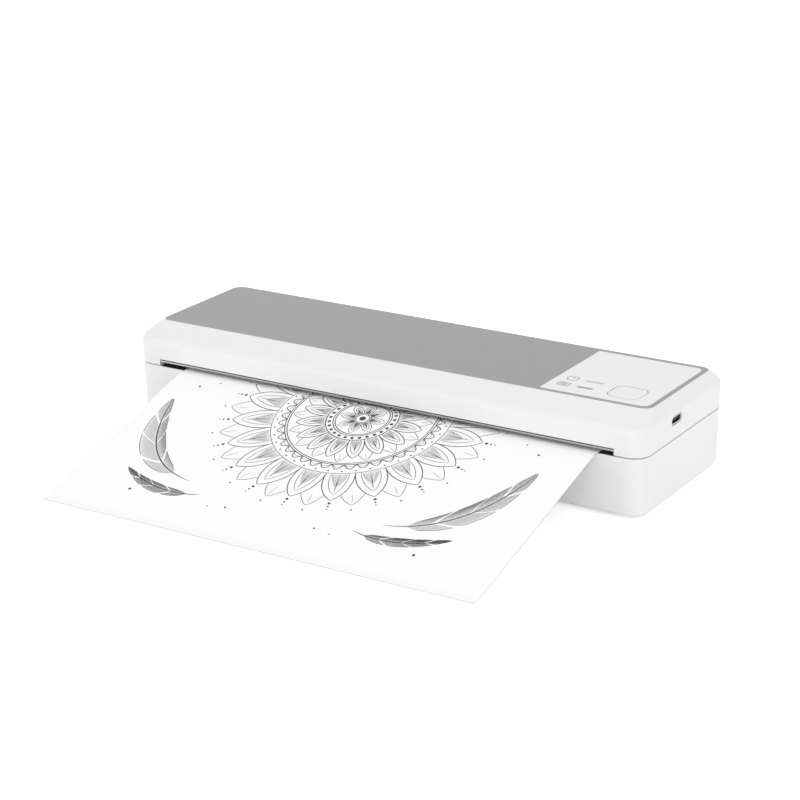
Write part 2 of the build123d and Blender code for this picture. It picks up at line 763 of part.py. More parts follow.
with BuildPart() as motor_pinion:
    with BuildSketch(Plane(origin=(-gear_x, motor_y, motor_z), x_dir=(0, 1, 0), z_dir=(1, 0, 0))):
        with BuildLine():
            gear_outline(pinion_teeth, pinion_phase)
        make_face()
        Circle(motor_shaft_radius, mode=Mode.SUBTRACT)
    extrude(amount=gear_width)
finish(motor_pinion.part, "motor_pinion")

with BuildPart() as idler_axle:
    with BuildSketch(Plane.YZ.offset(-frame_inner_x)):
        with Locations((idler_y, idler_z)):
            Circle(idler_axle_radius)
    extrude(amount=-(gear_x - frame_inner_x + clip_thickness + 3 * nip_clearance))
    with BuildSketch(Plane.YZ.offset(-frame_outer_x)):
        with Locations((idler_y, idler_z)):
            Circle(idler_hub_radius)
    extrude(amount=-(gear_x - gear_width - frame_outer_x - 2 * nip_clearance))
finish(idler_axle.part, "idler_axle")

with BuildPart() as idler_clip:
    with BuildSketch(Plane.YZ.offset(-gear_x - 2 * nip_clearance)):
        with Locations((idler_y, idler_z)):
            Circle(idler_clip_radius)
            Circle(idler_axle_radius, mode=Mode.SUBTRACT)
    extrude(amount=-clip_thickness)
finish(idler_clip.part, "idler_clip")

with BuildPart() as motor_body:
    with BuildSketch(Plane.YZ.offset(-frame_inner_x)):
        with Locations((motor_y, motor_z)):
            Circle(motor_radius)
    extrude(amount=motor_length)
    fillet(edges().group_by(Axis.X)[-1], radius=motor_ear_thickness)
    with BuildSketch(Plane.YZ.offset(-frame_inner_x)):
        with Locations((motor_y, motor_z)):
            SlotCenterToCenter(2 * motor_ear_reach, 2 * motor_ear_radius, rotation=motor_ear_angle)
    extrude(amount=motor_ear_thickness)
    with BuildSketch(Plane.YZ.offset(-frame_inner_x)):
        with Locations((motor_y, motor_z)):
            Circle(motor_boss_radius)
    extrude(amount=-frame_thickness)
    with BuildSketch(Plane.YZ.offset(-frame_outer_x)):
        with Locations((motor_y, motor_z)):
            Circle(motor_shaft_radius + running_clearance)
    extrude(amount=motor_length - wall, mode=Mode.SUBTRACT)
    with BuildSketch(Plane.YZ.offset(-frame_inner_x)):
        with Locations(*motor_ears):
            Circle(screw_radius)
    extrude(amount=motor_ear_thickness, mode=Mode.SUBTRACT)
finish(motor_body.part, "motor_body")

with BuildPart() as motor_shaft:
    with BuildSketch(Plane.YZ.offset(-gear_x)):
        with Locations((motor_y, motor_z)):
            Circle(motor_shaft_radius)
    extrude(amount=gear_x - frame_outer_x + motor_length - 1.5 * wall)
finish(motor_shaft.part, "motor_shaft")

with BuildPart() as motor_screws:
    with Locations(*[Location((-frame_outer_x, y, z), (0, 90, 0)) for y, z in motor_ears]):
        screw(frame_thickness + motor_ear_thickness + trim_clearance, 1)
finish(motor_screws.part, "motor_screws")

# ---------------------------------------------------------------- battery and wiring
cell_z = floor_top + holder_wall + cell_radius
cell_rear_y = cell_front_y + 2 * cell_radius + cell_gap
holder_half = cell_length / 2 + trim_clearance + holder_wall

with BuildPart() as battery_cells:
    with BuildSketch(Plane.YZ.offset(cell_x - cell_length / 2)):
        with Locations((cell_front_y, cell_z), (cell_rear_y, cell_z)):
            Circle(cell_radius)
    extrude(amount=cell_length)
    fillet(edges().filter_by(GeomType.CIRCLE), radius=cell_radius / 12)
finish(battery_cells.part, "battery_cells")

with BuildPart() as battery_holder:
    with Locations((cell_x, (cell_front_y + cell_rear_y) / 2, floor_top)):
        Box(2 * holder_half, cell_rear_y - cell_front_y + 2 * (cell_radius + trim_clearance + holder_wall),
            cell_radius, align=LOW)
    with BuildSketch(Plane.YZ.offset(cell_x - cell_length / 2 - trim_clearance)):
        with Locations((cell_front_y, cell_z), (cell_rear_y, cell_z)):
            Circle(cell_radius + trim_clearance)
    extrude(amount=cell_length + 2 * trim_clearance, mode=Mode.SUBTRACT)
finish(battery_holder.part, "battery_holder")

with BuildPart() as junction_board:
    junction_x = (junction_left + junction_right) / 2
    junction_y = (junction_front + junction_rear) / 2
    junction_bottom = floor_top + junction_rise
    junction_top = junction_bottom + junction_thickness
    with Locations((junction_x, junction_y, junction_bottom)):
        Box(junction_right - junction_left, junction_rear - junction_front, junction_thickness, align=LOW)
    with Locations((junction_x, junction_front + connector_depth / 2, junction_top),
                   (junction_x, junction_rear - connector_depth / 2, junction_top)):
        Box(junction_right - junction_left, connector_depth, junction_connector, align=LOW)
finish(junction_board.part, "junction_board")

lead_z = junction_top + junction_connector / 2
lead_floor = floor_top + lead_radius + 0.5
lead_exit = floor_top + 3.0
motor_lead_x = junction_left + motor_lead_inset
battery_lead_x = junction_left + battery_lead_inset
motor_end = motor_length - frame_inner_x
holder_end = cell_x + holder_half
holder_middle = (cell_front_y + cell_rear_y) / 2
channel_y = cell_front_y - cell_radius - holder_wall - 2.4
motor_lead_points = (
    (motor_end, motor_y, lead_exit),
    (motor_end + 6.5, motor_y, lead_exit),
    (motor_end + 17.5, channel_y, lead_floor),
    (junction_left - 12.8, channel_y, lead_floor),
    (motor_lead_x, junction_front - 15.0, lead_floor + 0.3),
    (motor_lead_x, junction_front - 6.0, lead_z),
    (motor_lead_x, junction_front, lead_z),
)
battery_lead_points = (
    (holder_end, holder_middle, lead_exit),
    (holder_end + 6.2, holder_middle, lead_exit),
    (junction_left - 13.8, junction_front - 5.0, lead_floor),
    (junction_left - 4.8, junction_front - 12.0, lead_floor),
    (battery_lead_x, junction_front - 10.0, lead_floor + 0.3),
    (battery_lead_x, junction_front - 5.0, lead_z),
    (battery_lead_x, junction_front, lead_z),
)
for label, points in (("motor_lead", motor_lead_points), ("battery_lead", battery_lead_points)):
    with BuildPart() as lead:
        with BuildLine() as route:
            FilletPolyline(*points, radius=lead_bend)
        with BuildSketch(Plane(origin=route.line @ 0, z_dir=route.line % 0)):
            Circle(lead_radius)
        sweep()
    finish(lead.part, label)

with BuildPart() as main_ribbon:
    ribbon_low = junction_top + ribbon_thickness
    ribbon_high = board_bottom - connector_height / 2
    with BuildLine(Plane.YZ.offset(ribbon_x)) as route:
        FilletPolyline((junction_rear, ribbon_low), (ribbon_y, ribbon_low), (ribbon_y, ribbon_high),
                       (board_rear, ribbon_high), radius=ribbon_bend)
    with BuildSketch(Plane(origin=route.line @ 0, x_dir=(1, 0, 0), z_dir=route.line % 0)):
        Rectangle(ribbon_width, ribbon_thickness)
    sweep()
finish(main_ribbon.part, "main_ribbon")

# ---------------------------------------------------------------- cover
with BuildPart() as cover_cavity:
    with BuildSketch(Plane.XY.offset(cover_edge)):
        casing_plan(draft_cover + wall, draft_cover + wall)
    with BuildSketch(Plane.XY.offset(crown_line - cavity_drop)):
        casing_plan(wall, wall)
    loft(ruled=True)
    with BuildSketch(Plane.XY.offset(crown_line - cavity_drop)):
        casing_plan(wall, wall)
    with BuildSketch(Plane.XY.offset(ceiling)):
        plan(half_length - crown_side - cavity_taper, front + crown_front + cavity_taper,
             rear - crown_rear - cavity_taper, inlay_corner, inlay_corner)
    loft(ruled=True)
    # keep the wall's thickness round the rolled rear edge
    with BuildSketch(Plane.YZ.offset(-half_length)):
        with Locations((hinge_y, hinge_z)):
            Rectangle(body_depth, body_depth, align=(Align.MIN, Align.MAX))
            Circle(hinge_roll - wall, mode=Mode.SUBTRACT)
    extrude(amount=body_length, mode=Mode.SUBTRACT)

with BuildPart() as top_cover:
    with BuildSketch(Plane.XY.offset(cover_edge)):
        casing_plan(draft_cover, draft_cover)
    with BuildSketch(Plane.XY.offset(crown_line)):
        casing_plan(0, 0)
    loft(ruled=True)
    with BuildSketch(Plane.XY.offset(crown_line)):
        casing_plan(0, 0)
    with BuildSketch(Plane.XY.offset(top)):
        plan(half_length - crown_side, front + crown_front, rear - crown_rear,
             inlay_corner + rim_width, inlay_corner + rim_width)
    loft(ruled=True)
    fillet(edges().filter_by_position(Axis.Z, crown_line - rim_width, crown_line + rim_width),
           radius=crown_round)
    # rolled rear edge, round the hinge axis
    with BuildSketch(Plane.YZ.offset(-half_length)):
        with Locations((hinge_y, hinge_z)):
            Rectangle(body_depth, body_depth, align=(Align.MIN, Align.MAX))
            Circle(hinge_roll, mode=Mode.SUBTRACT)
    extrude(amount=body_length, mode=Mode.SUBTRACT)
    add(cover_cavity.part, mode=Mode.SUBTRACT)
    # cheeks that hold the hinge pins, two beside each ear
    cheek_reach = ear_width / 2 + ear_clearance + cheek_width / 2
    cheek_places = [side * hinge_x + way * cheek_reach for side in SIDES for way in SIDES]
    with BuildSketch(*[Plane.YZ.offset(x - cheek_width / 2) for x in cheek_places]):
        with Locations((hinge_y, hinge_z)):
            Circle(ear_radius)
        with Locations((hinge_y - ear_radius, hinge_z)):
            Rectangle(rear - wall - hinge_y + ear_radius, ceiling - hinge_z + ceiling_thickness / 4,
                      align=(Align.MIN, Align.MIN))
    extrude(amount=cheek_width)
    # notches for the ears
    with BuildSketch(*[Plane.YZ.offset(side * hinge_x - ear_width / 2 - ear_clearance) for side in SIDES]):
        with Locations((hinge_y - ear_radius - ear_clearance, hinge_z + ear_radius + ear_clearance)):
            Rectangle(body_depth, body_depth, align=(Align.MIN, Align.MAX))
    extrude(amount=ear_width + 2 * ear_clearance, mode=Mode.SUBTRACT)
    # pin bores
    bore_reach = cheek_reach + cheek_width / 2 - 2 * ear_clearance
    with BuildSketch(*[Plane.YZ.offset(side * hinge_x - bore_reach) for side in SIDES]):
        with Locations((hinge_y, hinge_z)):
            Circle(pin_radius + running_clearance)
    extrude(amount=2 * bore_reach, mode=Mode.SUBTRACT)
    # paper slot in front and inlet at the rear
    with Locations((0, front, cover_edge)):
        Box(slot_width, 2 * (draft_cover + wall + lip_clearance), 2 * slot_height, mode=Mode.SUBTRACT)
    with Locations((0, rear, cover_edge)):
        Box(inlet_width, 2 * (rear - hinge_y + hinge_roll), 2 * inlet_height, mode=Mode.SUBTRACT)
    # posts for the guide, the board and the springs
    for x, y in guide_posts:
        post_top = ceiling if y > 0 else crown_line
        with Locations((x, y, guide_top + guide_boss_rise)):
            Cylinder(guide_post_radius, post_top - guide_top - guide_boss_rise, align=LOW)
            Cylinder(screw_radius, guide_screw_length, align=LOW, mode=Mode.SUBTRACT)
    with Locations(*[(x, y, board_top) for x, y in board_posts]):
        Cylinder(board_post_radius, ceiling - board_top, align=LOW)
        Cylinder(screw_radius, board_screw_length, align=LOW, mode=Mode.SUBTRACT)
    with Locations(*[(x, y, spring_seat) for x, y in spring_places]):
        Cylinder(spring_radius + wall / 2, ceiling - spring_seat, align=LOW)
        Cylinder(spring_radius - spring_wire - running_clearance, spring_wire * 2, align=HIGH)
    # pilot holes in the front wall for the tear bar's screws
    with BuildSketch(Plane.XZ.offset(-leg_front)):
        with Locations(*[(x, tear_screw_z) for x in (-tear_screw_x, 0, tear_screw_x)]):
            Circle(screw_radius)
    extrude(amount=tear_screw_length, mode=Mode.SUBTRACT)
    # recess for the inlay, and openings for the button, the light bars and the socket
    with BuildSketch(Plane.XY.offset(top)):
        plan(inlay_half + trim_clearance, inlay_front - trim_clearance, inlay_rear + trim_clearance,
             inlay_corner, inlay_corner)
    extrude(amount=-inlay_thickness, mode=Mode.SUBTRACT)
    with BuildSketch(Plane.XY.offset(inlay_floor)):
        button_plan(button_flange + button_gap)
        lens_plan(button_gap)
    extrude(amount=-ceiling_thickness, mode=Mode.SUBTRACT)
    with BuildSketch(Plane.YZ.offset(half_length)):
        with Locations((usb_y, usb_z)):
            RectangleRounded(usb_width + 2 * usb_clearance, usb_height + 2 * usb_clearance,
                             usb_height / 2 + usb_clearance / 2)
    extrude(amount=-2 * wall, mode=Mode.SUBTRACT)
finish(top_cover.part, "top_cover")

with BuildPart() as hinge_pins:
    pin_half = bore_reach - running_clearance
    with BuildSketch(*[Plane.YZ.offset(side * hinge_x - pin_half) for side in SIDES]):
        with Locations((hinge_y, hinge_z)):
            Circle(pin_radius)
    extrude(amount=2 * pin_half)
finish(hinge_pins.part, "hinge_pins")

with BuildPart() as top_inlay:
    with BuildSketch(Plane.XY.offset(inlay_floor)):
        plan(inlay_half, inlay_front, inlay_rear, inlay_corner, inlay_corner)
    extrude(amount=inlay_thickness)
    with BuildSketch(Plane.XY.offset(inlay_floor)):
        panel_plan(trim_clearance)
    extrude(amount=inlay_thickness, mode=Mode.SUBTRACT)
finish(top_inlay.part, "top_inlay")

with BuildPart() as control_panel:
    with BuildSketch(Plane.XY.offset(inlay_floor)):
        panel_plan(0)
    extrude(amount=inlay_thickness)
    with BuildSketch(Plane.XY.offset(inlay_floor)):
        button_plan(button_gap)
        lens_plan(running_clearance)
    extrude(amount=inlay_thickness, mode=Mode.SUBTRACT)
finish(control_panel.part, "control_panel")

with BuildPart() as indicator_lenses:
    with BuildSketch(Plane.XY.offset(lens_bottom)):
        lens_plan(0)
    extrude(amount=top - lens_bottom)
finish(indicator_lenses.part, "indicator_lenses")

with BuildPart() as power_button:
    flange_top = inlay_floor - nip_clearance
    with BuildSketch(Plane.XY.offset(flange_top)):
        button_plan(0)
    extrude(amount=top - flange_top)
    fillet(edges().group_by(Axis.Z)[-1], radius=button_gap)
    with BuildSketch(Plane.XY.offset(flange_top)):
        button_plan(button_flange)
    extrude(amount=-button_flange_thickness)
    with BuildSketch(Plane.XY.offset(flange_top)):
        with Locations((button_x, button_y)):
            Circle(button_stem_radius)
    extrude(amount=stem_bottom - flange_top)
finish(power_button.part, "power_button")

# ---------------------------------------------------------------- tear bar
with BuildPart() as tear_bar:
    with BuildSketch(Plane.YZ.offset(-tear_half)):
        with Locations((lip_front, tear_top)):
            Rectangle(tear_thickness, tear_drop, align=(Align.MIN, Align.MAX))
            Rectangle(leg_front + tear_thickness - lip_front, tear_thickness, align=(Align.MIN, Align.MAX))
        with Locations((leg_front, slot_top + tear_leg)):
            Rectangle(tear_thickness, tear_leg + tear_gap + tear_thickness, align=(Align.MIN, Align.MAX))
    extrude(amount=2 * tear_half)
    with BuildSketch(Plane.XZ.offset(-lip_front)):
        with Locations((0, tear_top - tear_drop)):
            with GridLocations(tooth_pitch, 1, int(2 * tear_half / tooth_pitch) - 1, 1):
                Rectangle(tooth_depth * math.sqrt(2), tooth_depth * math.sqrt(2), rotation=45)
    extrude(amount=-tear_thickness, mode=Mode.SUBTRACT)
    with BuildSketch(Plane.XZ.offset(-leg_front)):
        with Locations(*[(x, tear_screw_z) for x in (-tear_screw_x, 0, tear_screw_x)]):
            Circle(screw_radius)
    extrude(amount=-tear_thickness, mode=Mode.SUBTRACT)
finish(tear_bar.part, "tear_bar")

with BuildPart() as tear_screws:
    with Locations(*[Location((x, leg_front + tear_thickness, tear_screw_z), (90, 0, 0))
                     for x in (-tear_screw_x, 0, tear_screw_x)]):
        screw(tear_thickness + tear_screw_length - running_clearance, 1)
finish(tear_screws.part, "tear_screws")

# ---------------------------------------------------------------- guide under the cover
with BuildPart() as upper_guide:
    with BuildSketch(Plane.XY.offset(guide_bottom)):
        plan(guide_half, guide_front, guide_rear, corner_front - lip_inner, corner_rear - wall)
    extrude(amount=guide_thickness)
    with Locations(*[(x, y, guide_bottom) for x, y in guide_posts]):
        Cylinder(guide_boss_radius, guide_thickness + guide_boss_rise, align=LOW)
    # magnet bosses reach down to the deck
    with Locations(*[(side * magnet_x, magnet_y, rim + magnet_gap) for side in SIDES]):
        Cylinder(magnet_radius + magnet_boss_wall, magnet_thickness + magnet_boss_wall, align=LOW)
    # cheeks for the head's pivot rod
    for side in SIDES:
        with BuildSketch(Plane.YZ.offset(min(side * guide_cheek_x, side * (guide_cheek_x + guide_cheek)))):
            with Locations((head_pivot_y, guide_bottom)):
                Rectangle(2 * guide_cheek, pivot_z - guide_bottom, align=(Align.CENTER, Align.MIN))
            with Locations((head_pivot_y, pivot_z)):
                Circle(lug_radius)
        extrude(amount=guide_cheek)
    # window for the head, open to the front
    with BuildSketch(Plane.XY.offset(guide_bottom)):
        with Locations((0, window_rear)):
            Rectangle(2 * guide_cheek_x, body_depth, align=(Align.CENTER, Align.MAX))
        with Locations((ribbon_x, ribbon_y)):
            Rectangle(ribbon_width + 2 * ribbon_clearance, ribbon_thickness + 2 * ribbon_clearance)
    extrude(amount=guide_thickness, mode=Mode.SUBTRACT)
    with Locations(*[(x, y, guide_bottom) for x, y in guide_posts]):
        Cylinder(screw_radius + running_clearance, guide_thickness + guide_boss_rise,
                 align=LOW, mode=Mode.SUBTRACT)
        Cylinder(screw_head_radius + counterbore_clearance, screw_head_height + trim_clearance,
                 align=LOW, mode=Mode.SUBTRACT)
    with Locations(*[(side * magnet_x, magnet_y, rim + magnet_gap) for side in SIDES]):
        Cylinder(magnet_radius + running_clearance, magnet_thickness, align=LOW, mode=Mode.SUBTRACT)
    with BuildSketch(Plane.YZ.offset(-guide_half)):
        with Locations((head_pivot_y, pivot_z)):
            Circle(pivot_rod_radius)
    extrude(amount=2 * guide_half, mode=Mode.SUBTRACT)
finish(upper_guide.part, "upper_guide")

with BuildPart() as guide_screws:
    with Locations(*[(x, y, guide_bottom + screw_head_height + trim_clearance) for x, y in guide_posts]):
        screw(guide_thickness + guide_boss_rise - screw_head_height + guide_screw_length - screw_end_gap, 1)
finish(guide_screws.part, "guide_screws")

with BuildPart() as cover_magnets:
    with Locations(*[(side * magnet_x, magnet_y, rim + magnet_gap) for side in SIDES]):
        Cylinder(magnet_radius, magnet_thickness, align=LOW)
finish(cover_magnets.part, "cover_magnets")

# ---------------------------------------------------------------- thermal head
with BuildPart() as head_ceramic:
    with Locations((0, platen_y, ceramic_bottom)):
        Box(2 * roller_half, 2 * ceramic_half_depth, ceramic_thickness, align=LOW)
finish(head_ceramic.part, "head_ceramic")

with BuildPart() as head_heatsink:
    heatsink_depth = heatsink_rear - heatsink_front
    with BuildSketch(Plane.YZ.offset(-roller_half)):
        with Locations((heatsink_front, heatsink_bottom)):
            Rectangle(heatsink_depth, heatsink_plate, align=(Align.MIN, Align.MIN))
        with Locations(((heatsink_front + heatsink_rear) / 2, fin_bottom + heatsink_fin / 2)):
            with GridLocations((heatsink_depth - heatsink_fin_width) / (heatsink_fin_count - 1), 1,
                               heatsink_fin_count, 1):
                Rectangle(heatsink_fin_width, heatsink_fin)
    extrude(amount=2 * roller_half)
    # seats for the springs
    with Locations(*[(x, y, fin_bottom) for x, y in spring_places]):
        Cylinder(spring_radius + spring_wire, heatsink_fin, align=LOW)
    # three lugs on the pivot rod
    lug_places = [x - lug_width / 2 for x in (-lug_spacing, 0, lug_spacing)]
    with BuildSketch(*[Plane.YZ.offset(x) for x in lug_places]):
        with Locations((head_pivot_y, pivot_z)):
            Circle(lug_radius)
        with Locations((head_pivot_y, heatsink_bottom)):
            Rectangle(head_pivot_y - heatsink_rear + heatsink_fin_width, heatsink_plate + heatsink_fin,
                      align=(Align.MAX, Align.MIN))
    extrude(amount=lug_width)
    with BuildSketch(Plane.YZ.offset(-roller_half)):
        with Locations((head_pivot_y, pivot_z)):
            Circle(pivot_rod_radius + running_clearance)
    extrude(amount=2 * roller_half, mode=Mode.SUBTRACT)
finish(head_heatsink.part, "head_heatsink")

with BuildPart() as head_pivot_rod:
    with BuildSketch(Plane.YZ.offset(-guide_cheek_x - guide_cheek)):
        with Locations((head_pivot_y, pivot_z)):
            Circle(pivot_rod_radius)
    extrude(amount=2 * (guide_cheek_x + guide_cheek))
finish(head_pivot_rod.part, "head_pivot_rod")

with BuildPart() as head_springs:
    coil_radius = spring_radius - spring_wire / 2
    coil_low = heatsink_top + spring_wire / 2 + running_clearance
    coil_rise = (spring_seat - spring_wire / 2 - running_clearance - coil_low) / (4 * spring_turns)
    for x, y in spring_places:
        corners = [(x + coil_radius * math.sqrt(2) * math.cos(math.pi / 4 + quarter * math.pi / 2),
                    y + coil_radius * math.sqrt(2) * math.sin(math.pi / 4 + quarter * math.pi / 2),
                    coil_low + quarter * coil_rise) for quarter in range(4 * spring_turns + 1)]
        with BuildLine() as coil:
            FilletPolyline(*corners, radius=coil_share * coil_radius)
        with BuildSketch(Plane(origin=coil.line @ 0, z_dir=coil.line % 0)):
            Circle(spring_wire / 2)
        sweep()
    steps = 24 * spring_turns
    points = [coil.line @ (step / steps) for step in range(steps + 1)]
    gaps = [(points[first] - points[second]).length - spring_wire
            for first in range(steps + 1) for second in range(first + 12, steps + 1)]
    print("head springs: least gap between turns", round(min(gaps), 2))
finish(head_springs.part, "head_springs")

with BuildPart() as head_ribbon:
    head_ribbon_low = heatsink_bottom - head_ribbon_thickness
    with BuildLine(Plane.YZ.offset(head_ribbon_x)) as route:
        FilletPolyline((platen_y + ceramic_half_depth, head_ribbon_low), (head_ribbon_y, head_ribbon_low),
                       (head_ribbon_y, board_bottom - connector_height), radius=ribbon_bend / 2)
    with BuildSketch(Plane(origin=route.line @ 0, x_dir=(1, 0, 0), z_dir=route.line % 0)):
        Rectangle(head_ribbon_width, head_ribbon_thickness)
    sweep()
finish(head_ribbon.part, "head_ribbon")

# ---------------------------------------------------------------- main board
with BuildPart() as main_board:
    with Locations(((board_left + board_right) / 2, (board_front + board_rear) / 2, board_bottom)):
        Box(board_right - board_left, board_rear - board_front, board_thickness, align=LOW)
    with Locations(*[(x, y, board_bottom) for x, y in board_posts]):
        Cylinder(screw_radius + running_clearance, board_thickness, align=LOW, mode=Mode.SUBTRACT)
finish(main_board.part, "main_board")

with BuildPart() as board_components:
    # light sources under the bars
    for x, y, length in lens_places:
        with Locations((x, y, board_top)):
            Box(light_source_length, light_source_length, light_source_height, align=LOW)
    # processor, memory, motor driver and a choke, on top of the board
    for x, y, length, depth, height in board_chips:
        with Locations((board_right - x, board_front + y, board_top)):
            Box(length, depth, height, align=LOW)
    with Locations((board_right - choke_inset_end, board_front + choke_inset_front, board_top)):
        Cylinder(choke_radius, choke_height, align=LOW)
    # ribbon sockets below the board
    with Locations((head_ribbon_x, head_ribbon_y + connector_depth / 4, board_bottom)):
        Box(head_ribbon_width + connector_overlap, connector_depth, connector_height, align=HIGH)
    with Locations((ribbon_x, board_rear - connector_depth / 2, board_bottom)):
        Box(ribbon_width + connector_overlap, connector_depth, connector_height, align=HIGH)
finish(board_components.part, "board_components")

with BuildPart() as board_screws:
    with Locations(*[(x, y, board_bottom) for x, y in board_posts]):
        screw(board_thickness + board_screw_length - screw_end_gap, 1)
finish(board_screws.part, "board_screws")

with BuildPart() as usb_socket:
    socket_face = half_length - usb_setback
    with BuildSketch(Plane.YZ.offset(socket_face)):
        with Locations((usb_y, usb_z)):
            RectangleRounded(usb_width, usb_height, usb_height / 2 - running_clearance)
    extrude(amount=-usb_depth)
    with BuildSketch(Plane.YZ.offset(socket_face)):
        with Locations((usb_y, usb_z)):
            RectangleRounded(usb_width - 2 * usb_wall, usb_height - 2 * usb_wall,
                             usb_height / 2 - usb_wall - running_clearance)
            Rectangle(usb_width - usb_height + usb_wall, usb_height / 5, mode=Mode.SUBTRACT)
    extrude(amount=-usb_depth + 2 * usb_wall, mode=Mode.SUBTRACT)
finish(usb_socket.part, "usb_socket")

with BuildPart() as tact_switch:
    with Locations((button_x, button_y, board_top)):
        Box(switch_size, switch_size, switch_height, align=LOW)
    with Locations((button_x, button_y, switch_top)):
        Cylinder(plunger_radius + running_clearance, plunger_depth + button_travel + nip_clearance,
                 align=HIGH, mode=Mode.SUBTRACT)
finish(tact_switch.part, "tact_switch")

with BuildPart() as switch_plunger:
    with Locations((button_x, button_y, switch_top - plunger_depth)):
        Cylinder(plunger_radius, stem_bottom - switch_top + plunger_depth, align=LOW)
finish(switch_plunger.part, "switch_plunger")

# ---------------------------------------------------------------- paper sheet
slope = math.radians(sheet_slope)
sheet_line = sheet_bottom + sheet_thickness / 2
table_line = sheet_table_gap + sheet_thickness / 2
half_turn = math.tan(slope / 2)
crest_y = front - sheet_straight - sheet_bend_top * half_turn
landing_y = crest_y - (sheet_line - table_line) / math.tan(slope)
sheet_front = landing_y - sheet_bend_bottom * half_turn - sheet_flat_end
ramp = (sheet_line - table_line) / math.sin(slope) - (sheet_bend_top + sheet_bend_bottom) * half_turn
visible = sheet_straight + (sheet_bend_top + sheet_bend_bottom) * slope + ramp + sheet_flat_end
sheet_tail = front + sheet_length - visible
print("sheet: tail", round(sheet_tail, 2), "front edge", round(sheet_front, 2),
      "shows", round(visible, 2))

with BuildPart() as paper_sheet:
    with BuildLine(Plane.YZ.offset(sheet_offset_x)) as route:
        FilletPolyline((sheet_tail, sheet_line), (crest_y, sheet_line), (landing_y, table_line),
                       (sheet_front, table_line), radius=(sheet_bend_top, sheet_bend_bottom))
    with BuildSketch(Plane(origin=route.line @ 0, x_dir=(1, 0, 0), z_dir=route.line % 0)):
        Rectangle(sheet_width, sheet_thickness)
    sweep()
finish(paper_sheet.part, "paper_sheet")
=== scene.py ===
# %% [markdown]
# # A thermal stencil copier
#
# A long, low desk machine. A drawing goes in at the back, a heated bar presses it onto a rubber
# roller, and the finished stencil sheet comes out of the slot in front. The moulded shells, the
# inlay, the mechanism and the joints are solids already. This lesson gives each of them its
# finish, and models what solids are poor at: the thin sheet with the drawing printed on it, the
# signs on the panel, wound springs and the small parts of the thermal head.

# %% Load the fixed frame
import math

import bpy
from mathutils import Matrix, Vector


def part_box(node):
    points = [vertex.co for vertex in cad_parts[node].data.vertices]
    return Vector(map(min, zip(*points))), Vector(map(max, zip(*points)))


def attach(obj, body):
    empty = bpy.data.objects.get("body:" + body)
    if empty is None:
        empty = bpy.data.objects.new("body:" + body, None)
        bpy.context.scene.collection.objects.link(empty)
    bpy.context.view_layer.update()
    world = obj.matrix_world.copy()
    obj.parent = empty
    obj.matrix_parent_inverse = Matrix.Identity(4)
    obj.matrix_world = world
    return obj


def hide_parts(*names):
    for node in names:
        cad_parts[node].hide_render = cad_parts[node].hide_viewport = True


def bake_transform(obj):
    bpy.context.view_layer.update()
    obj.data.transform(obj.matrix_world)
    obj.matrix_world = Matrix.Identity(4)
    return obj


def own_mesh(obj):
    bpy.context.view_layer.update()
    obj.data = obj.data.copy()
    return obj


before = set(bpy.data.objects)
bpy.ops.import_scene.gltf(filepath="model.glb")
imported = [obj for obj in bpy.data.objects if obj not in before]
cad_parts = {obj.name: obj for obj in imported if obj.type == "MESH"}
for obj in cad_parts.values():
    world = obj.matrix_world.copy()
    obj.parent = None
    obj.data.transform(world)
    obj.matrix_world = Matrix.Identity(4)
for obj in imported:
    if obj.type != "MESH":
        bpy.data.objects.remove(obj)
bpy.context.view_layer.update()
MM = 0.001

# %% [markdown]
# ## The camera
#
# A long lens stands well back, to the right of the machine and a little above it. A long lens
# keeps the far end nearly as tall as the near one, which is how catalogue pictures are taken.
# The directions are worked out from yaw, pitch and roll, so each can be changed by itself.

# %% Place the camera
camera_place = Vector((498.88, -826.46, 359.27)) * MM
camera_yaw = math.radians(31.695)
camera_pitch = math.radians(19.422)
camera_roll = math.radians(-0.513)
camera_lens = 102.80
sensor_width = 36.0
clip_end = 50.0

ahead = Vector((-math.sin(camera_yaw) * math.cos(camera_pitch),
                math.cos(camera_yaw) * math.cos(camera_pitch),
                -math.sin(camera_pitch)))
level = Vector((math.cos(camera_yaw), math.sin(camera_yaw), 0))
upright = level.cross(ahead)
right = level * math.cos(camera_roll) + upright * math.sin(camera_roll)
up = upright * math.cos(camera_roll) - level * math.sin(camera_roll)

bpy.ops.object.camera_add(location=camera_place)
camera = bpy.context.object
camera.name = "camera"
camera.data.lens = camera_lens
camera.data.sensor_width = sensor_width
camera.data.clip_end = clip_end
turn = camera.matrix_world.to_3x3()
turn.col[0], turn.col[1], turn.col[2] = right, up, -ahead
camera.matrix_world = turn.to_4x4()
camera.location = camera_place
bpy.context.scene.camera = camera
bpy.context.scene.view_settings.view_transform = "Standard"
print("camera looks along", [round(value, 3) for value in ahead])

# %% [markdown]
# ## Colours and nodes
#
# Colours are given as sRGB hex values, but shaders add light linearly, so one function
# turns a hex value to linear. A second function adds a node with its settings and its links, and
# a third starts a material with one shader and Object coordinates in metres. Every pattern below
# is then scaled from a real size: a noise of scale 1 / (0.5 mm) has lumps half a millimetre wide,
# and a wave of scale 1 repeats every pi / 10, so its scale is that over the real pitch.

# %% Helpers for colours and nodes
def colour(code):
    """Turn an sRGB hex value such as F0F0F0 to a linear colour with alpha."""
    values = [int(code[place:place + 2], 16) / 255 for place in (0, 2, 4)]
    return [value / 12.92 if value <= 0.04045 else ((value + 0.055) / 1.055) ** 2.4
            for value in values] + [1.0]


